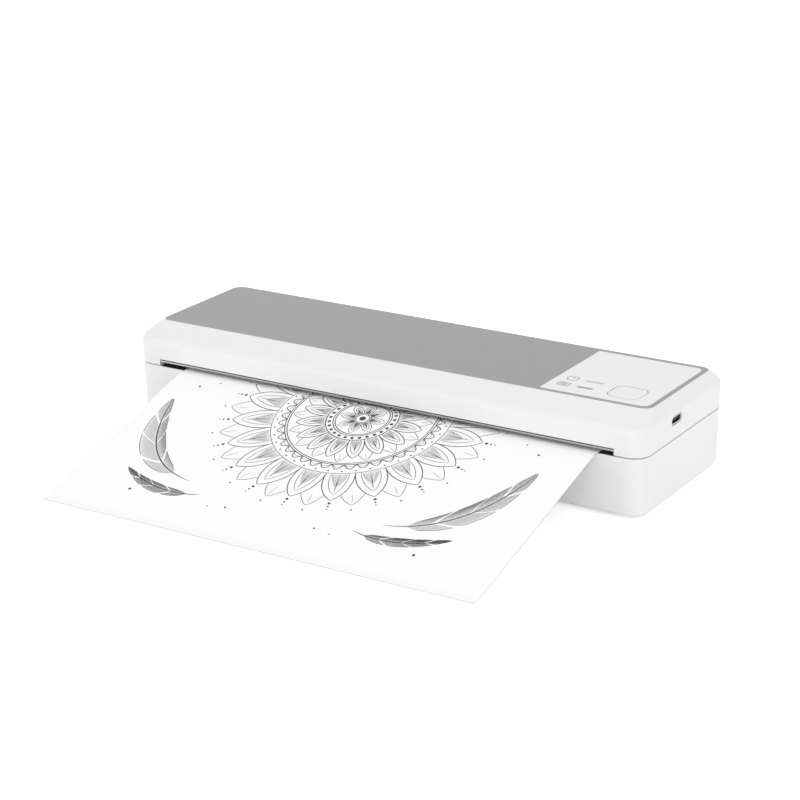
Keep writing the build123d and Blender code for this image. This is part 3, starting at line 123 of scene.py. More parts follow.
def add(tree, kind, sockets=None, **settings):
    """Add a node. Sockets maps an input's name or number to a value or to a node's output."""
    made = tree.nodes.new(kind)
    for name, value in settings.items():
        setattr(made, name, value)
    for name, value in (sockets or {}).items():
        if isinstance(value, bpy.types.NodeSocket):
            tree.links.new(value, made.inputs[name])
        else:
            made.inputs[name].default_value = value
    return made


def start(name, base, roughness, metallic=0.0, **shader):
    """Start a material and return it with its node tree, its shader and its place in metres."""
    made = bpy.data.materials.new(name)
    made.use_nodes = True
    tree = made.node_tree
    tree.nodes.clear()
    sockets = {"Base Color": colour(base), "Roughness": roughness, "Metallic": metallic}
    sockets.update(shader)
    surface = add(tree, "ShaderNodeBsdfPrincipled", sockets)
    add(tree, "ShaderNodeOutputMaterial", {"Surface": surface.outputs[0]})
    place = add(tree, "ShaderNodeTexCoord").outputs["Object"]
    return made, tree, surface, place


def grain(tree, surface, place, size, height, stretch=(1, 1, 1)):
    """Roughen a surface with lumps of that size and height, in metres."""
    spread = add(tree, "ShaderNodeMapping", {"Vector": place, "Scale": stretch})
    noise = add(tree, "ShaderNodeTexNoise",
                {"Vector": spread.outputs[0], "Scale": 1 / size, "Detail": 2.0})
    bump = add(tree, "ShaderNodeBump", {"Height": noise.outputs[0], "Distance": height, "Strength": 1.0})
    tree.links.new(bump.outputs[0], surface.inputs["Normal"])
    return noise.outputs[0]


def vary(tree, surface, value, low, high):
    """Let a pattern's value move the roughness between two levels."""
    level = add(tree, "ShaderNodeMapRange", {"Value": value, "To Min": low, "To Max": high})
    tree.links.new(level.outputs[0], surface.inputs["Roughness"])


def tint(tree, surface, value, first, second):
    """Let a pattern's value move the base colour between two hex values."""
    blend = add(tree, "ShaderNodeMix", {"Factor": value, "A": colour(first), "B": colour(second)},
                data_type="RGBA")
    tree.links.new(blend.outputs["Result"], surface.inputs["Base Color"])


def bands(tree, place, pitch, phase=0.0, distortion=0.0):
    """Give a value that swings from 0 to 1 and back along X, once in every pitch, in metres."""
    wave = add(tree, "ShaderNodeTexWave", {"Vector": place, "Scale": math.pi / 10 / pitch,
                                           "Phase Offset": phase, "Distortion": distortion},
               bands_direction="X")
    return wave.outputs[1]


# %% [markdown]
# ## Plastics
#
# The casing is ABS, moulded in a tool with a fine eroded grain. The grain is about 0.1 mm wide,
# too fine to show here, so it is drawn 0.4 mm wide: it only softens the gloss. The inlay is a
# polycarbonate sheet with a silk grey print on it, smoother than the casing. The panel is gloss
# acrylic. Inside, dark ABS and acetal are duller and rougher, because nobody polishes those tools.
# The light bars are frosted acrylic, one node with one finish. The front one is darker, so the
# finish asks which side of their middle a place lies on.

# %% Plastics
def moulded(name, base, roughness, grit=0.4 * MM, depth=0.004 * MM):
    """A moulded plastic with an eroded grain."""
    made, tree, surface, place = start(name, base, roughness, IOR=1.53)
    lumps = grain(tree, surface, place, grit, depth)
    vary(tree, surface, lumps, roughness - 0.04, roughness + 0.05)
    return made


def polished(name, base, roughness):
    """A smooth plastic sheet with a slight waviness."""
    made, tree, surface, place = start(name, base, roughness, IOR=1.49)
    waves = grain(tree, surface, place, 9 * MM, 0.003 * MM)
    vary(tree, surface, waves, roughness - 0.02, roughness + 0.02)
    return made


white_abs = moulded("Moulded ABS, white, fine grain", "F1F1F1", 0.42)
dark_abs = moulded("Moulded ABS, dark grey", "4A4B4D", 0.5)
black_abs = moulded("Moulded ABS, black", "1D1E20", 0.45)
white_acetal = moulded("Acetal, natural white", "E8E6DD", 0.38, 0.6 * MM)
black_acetal = moulded("Acetal, black", "232324", 0.38, 0.6 * MM)
grey_film = polished("Polycarbonate film, silk grey", "969696", 0.32)
white_acrylic = polished("Cast acrylic, gloss white", "F1F1F1", 0.14)
blue_wrap = polished("Heat-shrink PVC film, blue", "2C5F96", 0.25)
print("casing", white_abs.name)

# %% The light bars' two tones
lens_low, lens_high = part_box("indicator_lenses")
frosted, tree, surface, place = start("Acrylic, frosted", "BFC0C2", 0.45, IOR=1.49)
grain(tree, surface, place, 0.3 * MM, 0.004 * MM)
spot = add(tree, "ShaderNodeSeparateXYZ", {0: place})
behind = add(tree, "ShaderNodeMath", {0: spot.outputs["Y"], 1: (lens_low.y + lens_high.y) / 2},
             operation="GREATER_THAN")
tint(tree, surface, behind.outputs[0], "8E8F91", "BDBEC0")
print("light bars", round((lens_high.x - lens_low.x) / MM, 2), "mm long")

# %% [markdown]
# ## Rubber
#
# The feet are moulded rubber with a bloom of paler powder on them. The platen is silicone rubber,
# ground round on a lathe, which leaves rings 0.3 mm apart: a wave pattern along the roller's axis.

# %% Rubber
foot_rubber, tree, surface, place = start("Moulded rubber, black", "2A2A2B", 0.75, IOR=1.52)
bloom = grain(tree, surface, place, 1.5 * MM, 0.02 * MM)
tint(tree, surface, bloom, "232324", "3A3A3B")

platen_rubber, tree, surface, place = start("Silicone rubber, ground", "303134", 0.6, IOR=1.43)
rings = bands(tree, place, 0.3 * MM, distortion=0.6)
bump = add(tree, "ShaderNodeBump", {"Height": rings, "Distance": 0.01 * MM})
tree.links.new(bump.outputs[0], surface.inputs["Normal"])
tint(tree, surface, rings, "2B2C2F", "36373A")
print("rubbers", foot_rubber.name, "and", platen_rubber.name)

# %% [markdown]
# ## Metals
#
# The frames and the motor's can are zinc-plated sheet, whose crystals make faint patches a few
# millimetres wide. Shafts are turned, so their scratches run round the axis, which lies along X.
# The tear bar is stainless steel strip, rolled lengthwise. Each has streaks of its own direction,
# made by stretching a noise, and a metal's colour is its reflection, so the base colour stays pale.

# %% Metals
def metal(name, base, roughness, streak, stretch, spread=0.1):
    """A bare or plated metal with streaks of that width, long in the directions of low stretch."""
    made, tree, surface, place = start(name, base, roughness, 1.0)
    marks = grain(tree, surface, place, streak, 0.002 * MM, stretch)
    vary(tree, surface, marks, roughness - spread, roughness + spread)
    return made


zinc_sheet = metal("Zinc plated sheet steel", "C4C7CC", 0.36, 2.5 * MM, (1, 1, 1), 0.12)
zinc_screw = metal("Zinc plated steel, screws", "C0C2C6", 0.3, 0.4 * MM, (1, 1, 1))
turned_steel = metal("Turned steel", "BDBEC2", 0.24, 0.15 * MM, (1, 0.02, 0.02))
spring_steel = metal("Spring steel, oiled", "8C8D90", 0.28, 0.3 * MM, (1, 1, 1))
strip_steel = metal("Stainless steel strip", "D2D3D5", 0.3, 0.2 * MM, (0.02, 1, 1))
nickel_plate = metal("Nickel plate", "CFCBC0", 0.16, 0.8 * MM, (1, 1, 1), 0.05)
extruded_aluminium = metal("Anodised aluminium, extruded", "BFC2C6", 0.42, 0.2 * MM, (0.01, 1, 1), 0.08)
hobbed_brass = metal("Brass, hobbed", "D3A95E", 0.26, 0.2 * MM, (0.05, 1, 1))
gold_plate = metal("Gold plate", "E4BE6A", 0.2, 0.3 * MM, (1, 1, 1), 0.04)
print("frames", zinc_sheet.name)

# %% [markdown]
# Each tooth of the tear bar is ground to a bevel, so the faces between two teeth catch less light.
# That shade is painted into the steel's colour: painted shade, which from afar is all that shows of
# the teeth. It is a wave at the teeth's pitch, which fades out above them.

# %% The tear bar's teeth, with painted shade
tooth_pitch = 0.9 * MM
shade_full, shade_end = 0.3 * MM, 0.75 * MM
tooth_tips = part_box("tear_bar")[0].z
steel_and_tooth_shade, tree, surface, place = start("Stainless steel strip, painted tooth shade", "C6C7C9", 0.36, 1.0)
grain(tree, surface, place, 0.2 * MM, 0.002 * MM, (0.02, 1, 1))
teeth = bands(tree, place, tooth_pitch, phase=math.pi)
spot = add(tree, "ShaderNodeSeparateXYZ", {0: place})
near_teeth = add(tree, "ShaderNodeMapRange", {"Value": spot.outputs["Z"],
                                              "From Min": tooth_tips + shade_full,
                                              "From Max": tooth_tips + shade_end,
                                              "To Min": 1.0, "To Max": 0.0})
# ground is the painted shade between the teeth: the wave, faded out above their tips.
ground = add(tree, "ShaderNodeMath", {0: teeth, 1: near_teeth.outputs[0]}, operation="MULTIPLY")
tint(tree, surface, ground.outputs[0], "C6C7C9", "3C3D3F")
print("teeth end", round(tooth_tips / MM, 2), "mm above the table")

# %% [markdown]
# ## Boards, cables and the head's glaze
#
# A board's solder mask is a gloss lacquer over copper tracks, which show as slightly paler, raised
# bands. The flat cables are polyester with a row of copper ribbons inside, 1 mm apart. The head's
# alumina bar is glazed, cream and very smooth, and its heater is a comb of leads under that glaze:
# the real one has eight to the millimetre, too fine to show, so two are drawn.

# %% Boards, cables and glaze
def insulation(name, base):
    """Soft PVC drawn round a wire, with a fine skin."""
    made, tree, surface, place = start(name, base, 0.4, IOR=1.53)
    grain(tree, surface, place, 0.5 * MM, 0.004 * MM)
    return made


black_wire = insulation("PVC insulation, black", "1B1B1C")
red_wire = insulation("PVC insulation, red", "A31F1C")

track_field = 6 * MM
solder_mask, tree, surface, place = start("Solder mask, green", "12492B", 0.22, IOR=1.5)
tracks = add(tree, "ShaderNodeTexBrick", {"Vector": place, "Scale": 1 / track_field, "Mortar Size": 0.06,
                                          "Color1": colour("12492B"), "Color2": colour("124B2C"),
                                          "Mortar": colour("2C7A4C")})
tree.links.new(tracks.outputs["Color"], surface.inputs["Base Color"])

ribbon_pitch = 1 * MM
flat_cable, tree, surface, place = start("Polyester flat cable", "E9E8E2", 0.3, IOR=1.6)
tint(tree, surface, bands(tree, place, ribbon_pitch), "EFEEE9", "C9A98C")

glaze, tree, surface, place = start("Glazed alumina", "E9E2CC", 0.12, IOR=1.6)
tint(tree, surface, grain(tree, surface, place, 3 * MM, 0.002 * MM), "E6DEC6", "EDE7D4")

comb_pitch = 0.5 * MM
heater_glass, tree, surface, place = start("Glazed resistor paste", "4B3A2E", 0.15, IOR=1.6)
tint(tree, surface, bands(tree, place, comb_pitch), "4B3A2E", "B79A62")
print("a copper ribbon every", ribbon_pitch / MM, "mm, a heater lead every", comb_pitch / MM, "mm")

# %% [markdown]
# ## Paper and ink
#
# The sheet is smooth coated paper. Its fibres are felted flat, so a fine noise moves the colour by
# one step and lifts the surface by microns. The paper also glows a little: painted light, which
# makes it slightly brighter than the lamps alone make it. Its cut edge is painted grey: painted
# shade, which stands for the soft shadow along the sheet's edges. The drawing is dark transfer
# ink, and the signs on the panel are grey pad-printed ink: thin, matt films with a speckle of
# their own.

# %% Paper and ink
paper, tree, surface, place = start("Coated paper", "FEFEFE", 0.62, IOR=1.45)
# Painted light: a faint white emission makes the paper glow a little brighter than its lamps make it.
surface.inputs["Emission Color"].default_value = colour("FFFFFF")
surface.inputs["Emission Strength"].default_value = 0.03
tint(tree, surface, grain(tree, surface, place, 0.5 * MM, 0.004 * MM), "FBFBFB", "FFFFFF")

# Painted shade: the cut edge is grey, standing for the soft shadow along the sheet's front and right edges.
paper_edge_shade, tree, surface, place = start("Cut paper edge, painted shade", "8F8F8F", 0.9, IOR=1.45)
tint(tree, surface, grain(tree, surface, place, 0.2 * MM, 0.01 * MM), "888888", "969696")


def ink_film(name, base, dark, pale, roughness=0.5, speckle=0.2 * MM, height=0.002 * MM):
    """A matt film of ink, speckled between two tones."""
    made, tree, surface, place = start(name, base, roughness, IOR=1.5)
    tint(tree, surface, grain(tree, surface, place, speckle, height), dark, pale)
    return made


drawing_ink = ink_film("Transfer ink, black", "2A292C", "1E1D20", "4A494D", 0.55, 0.35 * MM, 0.004 * MM)
sign_ink = ink_film("Pad-printed ink, grey", "77787A", "737476", "808183")
# The button frame's pale grey is print and also painted shade for the gap round the button.
frame_print_and_shade = ink_film("Pad-printed ink and painted gap shade, pale grey", "A2A3A5", "9C9D9F", "A8A9AB")
print("inks", [made.name for made in (drawing_ink, sign_ink, frame_print_and_shade)])

# %% [markdown]
# ## Dress the solids
#
# Each solid takes the finish of what it is made of. Nothing is moved: the material alone changes.

# %% Give every solid its finish
finishes = {
    white_abs: ("base_shell", "top_cover"),
    dark_abs: ("paper_deck", "upper_guide"),
    black_abs: ("paper_sensor", "battery_holder", "board_components", "tact_switch", "switch_plunger"),
    white_acetal: ("platen_gear", "idler_gear"),
    black_acetal: ("platen_bushes",),
    grey_film: ("top_inlay",),
    white_acrylic: ("control_panel", "power_button"),
    blue_wrap: ("battery_cells",),
    frosted: ("indicator_lenses",),
    foot_rubber: ("rubber_feet",),
    platen_rubber: ("platen_roller",),
    zinc_sheet: ("side_frame_left", "side_frame_right", "strike_plates", "motor_body"),
    zinc_screw: ("case_screws", "frame_screws", "motor_screws", "guide_screws", "board_screws",
                 "tear_screws"),
    turned_steel: ("platen_shaft", "motor_shaft", "idler_axle", "head_pivot_rod", "hinge_pins"),
    spring_steel: ("platen_clips", "idler_clip", "head_springs"),
    steel_and_tooth_shade: ("tear_bar",),
    strip_steel: ("usb_socket",),
    nickel_plate: ("cover_magnets",),
    extruded_aluminium: ("head_heatsink",),
    hobbed_brass: ("motor_pinion",),
    solder_mask: ("main_board", "junction_board"),
    flat_cable: ("main_ribbon", "head_ribbon"),
    glaze: ("head_ceramic",),
    black_wire: ("motor_lead",),
    red_wire: ("battery_lead",),
    paper: ("paper_sheet",),
}
for finish, names in finishes.items():
    for name in names:
        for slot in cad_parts[name].material_slots:
            slot.material = finish
dressed = sum(len(names) for names in finishes.values())
print("dressed", dressed, "of", len(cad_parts), "solids")

# %% [markdown]
# ## Helpers for modelling
#
# The edit tools work on the open object and its selection, so one function opens a piece with
# nothing else selected. Others apply a modifier, move an object's place into its mesh, join pieces
# to one and turn faces outward. The last makes a piece from points that a formula gives, for the
# shapes that no primitive starts: ribbons of ink, flat cables, wire and a drawn tube.

# %% Open, apply, settle and join
def select(piece):
    """Make one piece the only selected one, and the active one."""
    bpy.ops.object.select_all(action="DESELECT")
    piece.select_set(True)
    bpy.context.view_layer.objects.active = piece


def edit(piece):
    """Open one piece for edit, with nothing else selected."""
    select(piece)
    bpy.ops.object.mode_set(mode="EDIT")


def modify(piece, kind, **settings):
    """Add a modifier to a piece, set it and apply it."""
    select(piece)
    made = piece.modifiers.new(kind.lower(), kind)
    for name, value in settings.items():
        setattr(made, name, value)
    bpy.ops.object.modifier_apply(modifier=made.name)


def settle(piece):
    """Move an object's place into its mesh, so that the object sits at the origin."""
    select(piece)
    bpy.ops.object.transform_apply(location=True, rotation=True, scale=True)


def join(name, pieces):
    """Join pieces to one object of that name."""
    select(pieces[0])
    for piece in pieces:
        piece.select_set(True)
    bpy.ops.object.join()
    pieces[0].name = name
    pieces[0].data.name = name
    return pieces[0]


def outward(piece):
    """Turn all faces of a piece to face outward."""
    edit(piece)
    bpy.ops.mesh.select_all(action="SELECT")
    bpy.ops.mesh.normals_make_consistent(inside=False)
    bpy.ops.object.mode_set(mode="OBJECT")


def mesh_piece(name, points, faces):
    """Make an object from points and faces, and select it."""
    mesh = bpy.data.meshes.new(name)
    mesh.from_pydata(points, [], faces)
    made = bpy.data.objects.new(name, mesh)
    bpy.context.scene.collection.objects.link(made)
    select(made)
    return made


# %% [markdown]
# ## The sheet
#
# The sheet is a cut piece of 210 by 148.5 mm, most of it out of the machine. Paper bends in one
# direction at a time, so its path is a plain line in the middle plane, drawn out across its width:
# level through the rollers, a wide bend as its own weight takes over, a straight slope and a
# smaller bend where its front edge lands on the table. A flat grid is modelled at its cut size and
# then laid on that path, point by point, so no length is lost. The same function lays the drawing.

# %% Lay a flat sheet on its path
cut_width = 210.0 * MM
cut_length = 148.5 * MM
paper_thickness = 0.15 * MM
sheet_low, sheet_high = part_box("paper_sheet")
sheet_middle = (sheet_low.x + sheet_high.x) / 2
level_height = sheet_high.z - paper_thickness / 2
table_height = sheet_low.z + paper_thickness / 2
slope = math.radians(16.0)
top_bend = 14.0 * MM
low_bend = 20.0 * MM
flat_end = 1.5 * MM
sheet_columns, sheet_rows = 28, 150
drop = level_height - table_height
ramp = drop / math.sin(slope) - (top_bend + low_bend) * math.tan(slope / 2)


def on_sheet(across, along, above=0.0):
    """Give the place of a point of the flat sheet: along runs from its front edge to its tail."""
    y, z = sheet_low.y, table_height
    runs = ((flat_end, None), (low_bend * slope, low_bend), (ramp, None),
            (top_bend * slope, -top_bend), (cut_length, None))
    turn, left = 0.0, along
    for length, radius in runs:
        step = min(left, length)
        if radius is None:
            y, z = y + step * math.cos(turn), z + step * math.sin(turn)
        else:
            new = turn + step / radius
            y += radius * (math.sin(new) - math.sin(turn))
            z += radius * (math.cos(turn) - math.cos(new))
            turn = new
        left -= step
        if left <= 0:
            break
    return Vector((sheet_middle + across, y - above * math.sin(turn), z + above * math.cos(turn)))


bpy.ops.object.select_all(action="DESELECT")
bpy.ops.mesh.primitive_grid_add(x_subdivisions=sheet_columns, y_subdivisions=sheet_rows, size=1,
                                calc_uvs=True)
sheet = bpy.context.object
sheet.name = "printed_sheet"
for vertex in sheet.data.vertices:
    vertex.co = on_sheet(vertex.co.x * cut_width, (vertex.co.y + 0.5) * cut_length)
for finish in (paper, paper_edge_shade):
    sheet.data.materials.append(finish)
# The rim faces take the second material, the painted edge shade.
modify(sheet, "SOLIDIFY", thickness=paper_thickness, offset=0, material_offset_rim=1)
bpy.ops.object.shade_smooth_by_angle(angle=math.radians(30))
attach(sheet, "sheet")
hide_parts("paper_sheet")
print("sheet ends at y", round(on_sheet(0, cut_length).y / MM, 2), "mm; the solid's tail is at",
      round(sheet_high.y / MM, 2), "mm")

# %% [markdown]
# ## The drawing on the sheet
#
# A stencil drawing is line work: outlines, a few weights of line, and hatching for the shades. This
# one is a traditional ring pattern of petals, beads and scallops with feathers on both sides. Each
# line is a ribbon of ink, thinner towards its ends as a pen leaves it. It is worked out on the flat
# sheet and laid on the bent one by the same function as the paper. The head prints row by row, so
# there is no ink behind the line where it touches the sheet.

# %% Ribbons of ink
ink_thickness = 0.02 * MM
fine_line, thin_line, firm_line, bold_line = 0.17, 0.28, 0.42, 0.6
small_dot, small_sides, large_sides = 0.6, 8, 16
ceramic_low, ceramic_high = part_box("head_ceramic")
heater_y = (ceramic_low.y + ceramic_high.y) / 2
print_end = cut_length - (sheet_high.y - heater_y)
ink_points, ink_faces = [], []


def ink_point(x, y):
    """Lay one point of ink on the bent sheet, from its place on the flat one in millimetres."""
    ink_points.append(on_sheet(x * MM, y * MM, paper_thickness / 2 + ink_thickness))


def stroke(points, width, taper):
    """Draw a line through points of the flat sheet, in millimetres. Taper thins both its ends."""
    count = len(points)
    last = None
    for place, point in enumerate(points):
        before = points[max(place - 1, 0)]
        after = points[min(place + 1, count - 1)]
        along = Vector((after[0] - before[0], after[1] - before[1])).normalized()
        share = place / max(count - 1, 1)
        press = 1 - taper * (2 * share - 1) ** 4
        side = Vector((-along.y, along.x)) * width * press / 2
        if point[1] * MM > print_end:
            last = None
            continue
        first = len(ink_points)
        for way in (-1, 1):
            ink_point(point[0] + way * side.x, point[1] + way * side.y)
        if last is not None:
            ink_faces.append((last, last + 1, first + 1, first))
        last = first


def dot(x, y, radius):
    """Fill a small round dot."""
    if (y + radius) * MM > print_end:
        return
    sides = small_sides if radius < small_dot else large_sides
    first = len(ink_points)
    for corner in range(sides):
        turn = 2 * math.pi * corner / sides
        ink_point(x + radius * math.cos(turn), y + radius * math.sin(turn))
    ink_faces.append(tuple(first + corner for corner in range(sides)))


print("the head prints up to", round(print_end / MM, 1), "mm from the sheet's front edge")

# %% [markdown]
# The ring pattern is drawn in polar places round one centre, which lies just in front of the slot.
# A petal is as wide as its share of the ring at its base and closes to a point: its half width
# follows (1 - s^2)^0.85 from base to tip. A second outline inside it, hatching from its base and a
# midrib give it depth. The petals behind show only where those in front have closed, so their
# outlines are cut off by comparing the two widths.

# %% Circles round the pattern's centre
ring_x = -3.0
ring_y = 96.6


def polar(radius, turn):
    """Give the point of the flat sheet at that distance and angle from the pattern's centre."""
    return (ring_x + radius * math.sin(turn), ring_y - radius * math.cos(turn))


def ring(radius, width):
    """Draw a full circle round the pattern's centre."""
    count = max(16, int(2 * math.pi * radius))
    circle = [polar(radius, 2 * math.pi * step / count) for step in range(count + 1)]
    stroke(circle, width, taper=0)


def closing(share):
    """Give a petal's half width at that share of its length, from 1 at its base to 0 at its tip."""
    return max(0.0, 1 - share ** 2) ** 0.85


# %% Petals
petal_steps, hatch_steps, rib_steps, spine_steps = 22, 6, 8, 5
inset_length, inset_width = 0.78, 0.62
rib_length, spine_length = 0.7, 0.8


def hatch_line(inner, length, middle, half, share):
    """Draw one hatching line from a petal's base, shorter and more bent the further out it starts."""
    reach = 0.62 * (1 - share) ** 0.7 + 0.05
    line = [polar(inner + 0.4 + length * reach * step / hatch_steps,
                  middle + half * (0.6 * share - 0.12 * (step / hatch_steps) ** 2))
            for step in range(hatch_steps + 1)]
    stroke(line, fine_line, taper=0.9)


def tip_behind(inner, length, behind, middle, half):
    """Draw what shows of one side of a petal that stands behind two others, centred between them."""
    tips = []
    for step in range(petal_steps + 1):
        share = step / petal_steps
        radius = inner + (length + behind) * share
        if closing(share) < 1 - closing(min((radius - inner) / length, 1.0)):
            tips.append(polar(radius, middle + half * closing(share)))
    stroke(tips, thin_line, taper=0.3)


def petals(count, inner, outer, width, hatches, behind=0.0):
    """Draw a ring of petals, and the tips of those behind them, which reach further by behind."""
    half = math.pi / count
    length = outer - inner
    shares = [step / petal_steps for step in range(petal_steps + 1)]
    for petal in range(count):
        middle = 2 * half * petal
        for side in (-half, half):
            edge = [polar(inner + length * share, middle + side * closing(share)) for share in shares]
            stroke(edge, width, taper=0.3)
            inset = [polar(inner + length * inset_length * share,
                           middle + side * inset_width * closing(share)) for share in shares]
            stroke(inset, thin_line, taper=0.5)
            for hatch in range(1, hatches):
                hatch_line(inner, length, middle, side, hatch / hatches)
            if behind:
                tip_behind(inner, length, behind, middle + half, side)
        rib = [polar(inner + length * rib_length * step / rib_steps, middle) for step in range(rib_steps + 1)]
        stroke(rib, thin_line, taper=0.9)
        if behind:
            spine = [polar(outer + behind * (2 * spine_length * step / spine_steps - 1), middle + half)
                     for step in range(spine_steps + 1)]
            stroke(spine, fine_line, taper=0.9)


# %% Beads, scallops and the whole pattern
arch_steps = 8


def beads(count, radius, size, offset=0.0):
    """Draw a ring of filled beads."""
    for bead in range(count):
        dot(*polar(radius, 2 * math.pi * (bead + offset) / count), size)


def scallops(count, radius, rise, width):
    """Draw a ring of small arches."""
    for arch in range(count):
        edge = [polar(radius + rise * math.sin(math.pi * step / arch_steps),
                      2 * math.pi * (arch + step / arch_steps) / count) for step in range(arch_steps + 1)]
        stroke(edge, width, taper=0)


dot(*polar(0, 0), 1.5)
ring(3.0, thin_line)
petals(8, 3.0, 11.0, thin_line, 4)
for radius in (12.0, 13.0, 16.2):
    ring(radius, firm_line)
beads(28, 14.6, 0.8)
petals(16, 16.2, 29.5, firm_line, 5, behind=2.5)
for radius in (33.0, 34.0):
    ring(radius, firm_line)
scallops(40, 34.0, 3.2, firm_line)
scallops(40, 34.0, 1.7, fine_line)
beads(40, 38.6, 0.45)
ring(40.2, thin_line)
petals(20, 40.2, 59.0, firm_line, 7, behind=4.0)
beads(20, 61.0, 0.7)
beads(20, 63.2, 0.5)
beads(20, 65.0, 0.35)
beads(20, 66.2, 0.45, offset=0.5)
print("ring pattern", len(ink_faces), "faces")

# %% [markdown]
# A feather has a curved shaft and two vanes of barbs. Each barb leaves the shaft at about 50
# degrees near the quill and 20 degrees at the tip, bends towards the tip, and is as long as the
# vane is wide there. Gaps in the count of barbs give the splits that make it read as a feather.
# Two feathers and a few dots lie on each side of the ring pattern, mirrored about its middle.

# %% The feathers
feather_barbs = 64
feather_splits = (13, 14, 31, 47, 48)
shaft_steps, barb_steps = 40, 6
quill = 0.16
slope_step = 0.01
narrow_vane = 0.8
barb_bend = 0.35
foot_lean, tip_lean = math.radians(52), math.radians(22)


def vane_width(share):
    """Give a vane's width at that share of the shaft, as a part of its greatest width."""
    return math.sin(math.pi * min(1.0, (share - 0.1) / 0.9) ** 0.8) ** 0.7


def feather(foot, bend, tip, widest):
    """Draw a feather along a curve with three control points."""
    def shaft(share):
        rest = 1 - share
        return Vector([rest * rest * foot[axis] + 2 * rest * share * bend[axis] + share * share * tip[axis]
                       for axis in (0, 1)])

    stroke([shaft(step / shaft_steps) for step in range(shaft_steps + 1)], bold_line, taper=0.8)
    for way, fullness in ((-1, narrow_vane), (1, 1.0)):
        rim = []
        for barb in range(feather_barbs):
            if barb + (way > 0) in feather_splits:
                stroke(rim, thin_line, taper=0.4)
                rim = []
                continue
            share = quill + (1 - quill) * barb / feather_barbs
            along = (shaft(min(share + slope_step, 1.0)) - shaft(share - slope_step)).normalized()
            out = Vector((-along.y, along.x)) * way
            lean = foot_lean + (tip_lean - foot_lean) * share
            reach = widest * fullness * vane_width(share)
            heading = reach * (along * math.cos(lean) + out * math.sin(lean))
            line = [shaft(share) + heading * step / barb_steps
                    + along * reach * barb_bend * (step / barb_steps) ** 2 for step in range(barb_steps + 1)]
            stroke(line, fine_line, taper=0.7)
            rim.append(line[-1])
        stroke(rim, thin_line, taper=0.4)


for way in (-1, 1):
    feather((ring_x + way * 48, 33), (ring_x + way * 82, 38), (ring_x + way * 92, 84), 10)
    feather((ring_x + way * 38, 26), (ring_x + way * 58, 20), (ring_x + way * 80, 33), 5)
    for x, y, size in ((70, 20, 0.7), (22, 22, 0.5), (86, 96, 0.6), (78, 101, 0.4), (30, 20.5, 0.35)):
        dot(ring_x + way * x, y, size)

drawing = mesh_piece("sheet_drawing", ink_points, ink_faces)
outward(drawing)
modify(drawing, "SOLIDIFY", thickness=ink_thickness, offset=0)
drawing.data.materials.append(drawing_ink)
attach(drawing, "sheet")
print("drawing", len(drawing.data.polygons), "faces")

# %% [markdown]
# ## Signs on the panel
#
# Two signs are pad-printed beside the light bars: a power sign for the switch and a small sheet
# with a wave for the paper. A print is a film of ink a few hundredths of a millimetre thick, so
# each sign is a flat outline, inset from a filled circle or rectangle, and then thickened.

# %% Helpers for printed signs
sign_line = 0.42 * MM
sign_thickness = 0.03 * MM
sign_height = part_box("control_panel")[1].z + sign_thickness / 2


def outline(piece, line=sign_line):
    """Turn a flat filled face to a frame of that line width."""
    edit(piece)
    bpy.ops.mesh.select_all(action="SELECT")
    bpy.ops.mesh.inset(thickness=line)
    bpy.ops.mesh.delete(type="FACE")
    bpy.ops.object.mode_set(mode="OBJECT")


def print_film(piece, ink=sign_ink):
    """Thicken a flat sign to a film of ink on the panel."""
    outward(piece)
    modify(piece, "SOLIDIFY", thickness=sign_thickness, offset=0)
    piece.data.materials.append(ink)
    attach(piece, "cover")


def bar(place, length, turn):
    """Add a filled bar of the sign's line width."""
    bpy.ops.mesh.primitive_plane_add(size=1, location=place, rotation=(0, 0, turn))
    made = bpy.context.object
    made.scale = (sign_line, length, 1)
    settle(made)
    return made


# %% Print the power sign
power_radius = 2.7 * MM
power_gap = 0.4 * power_radius
power_rise = 0.62 * power_radius
power_place = Vector((lens_low.x - 6.4 * MM, lens_high.y - 0.75 * MM, sign_height))

bpy.ops.object.select_all(action="DESELECT")
bpy.ops.mesh.primitive_circle_add(vertices=72, radius=power_radius, fill_type="NGON", location=power_place)
power_ring = bpy.context.object
outline(power_ring)
edit(power_ring)
bpy.ops.mesh.select_all(action="DESELECT")
bpy.ops.object.mode_set(mode="OBJECT")
for face in power_ring.data.polygons:
    face.select = face.center.y > 0 and abs(face.center.x) < power_gap
edit(power_ring)
bpy.ops.mesh.delete(type="FACE")
bpy.ops.object.mode_set(mode="OBJECT")
settle(power_ring)
power_bar = bar(power_place + Vector((0, power_rise, 0)), power_radius, 0)
print_film(join("power_sign", [power_ring, power_bar]))
print("power sign", round(2 * power_radius / MM, 2), "mm wide")

# %% Print the paper sign
paper_size = Vector((5.4, 4.2)) * MM
paper_place = Vector((lens_low.x - 6.6 * MM, lens_low.y + 1.15 * MM, sign_height))
wave_steps = 10
wave_length = 0.6 * paper_size.x
wave_height = 0.09 * paper_size.y
wave_row = 0.18 * paper_size.y
overlap = 1.15

bpy.ops.mesh.primitive_plane_add(size=1, location=paper_place)
paper_frame = bpy.context.object
paper_frame.scale = (paper_size.x, paper_size.y, 1)
settle(paper_frame)
outline(paper_frame)
lines = [paper_frame]
wave = [Vector(((step / wave_steps - 0.5) * wave_length,
                wave_height * math.sin(2 * math.pi * step / wave_steps), 0))
        for step in range(wave_steps + 1)]
for row in (-wave_row, wave_row):
    for first, second in zip(wave, wave[1:]):
        run = second - first
        middle = (first + second) / 2 + Vector((0, row, 0))
        lines.append(bar(paper_place + middle, overlap * run.length, math.atan2(-run.x, run.y)))
print_film(join("paper_sign", lines))
print("paper sign", len(lines), "strokes")

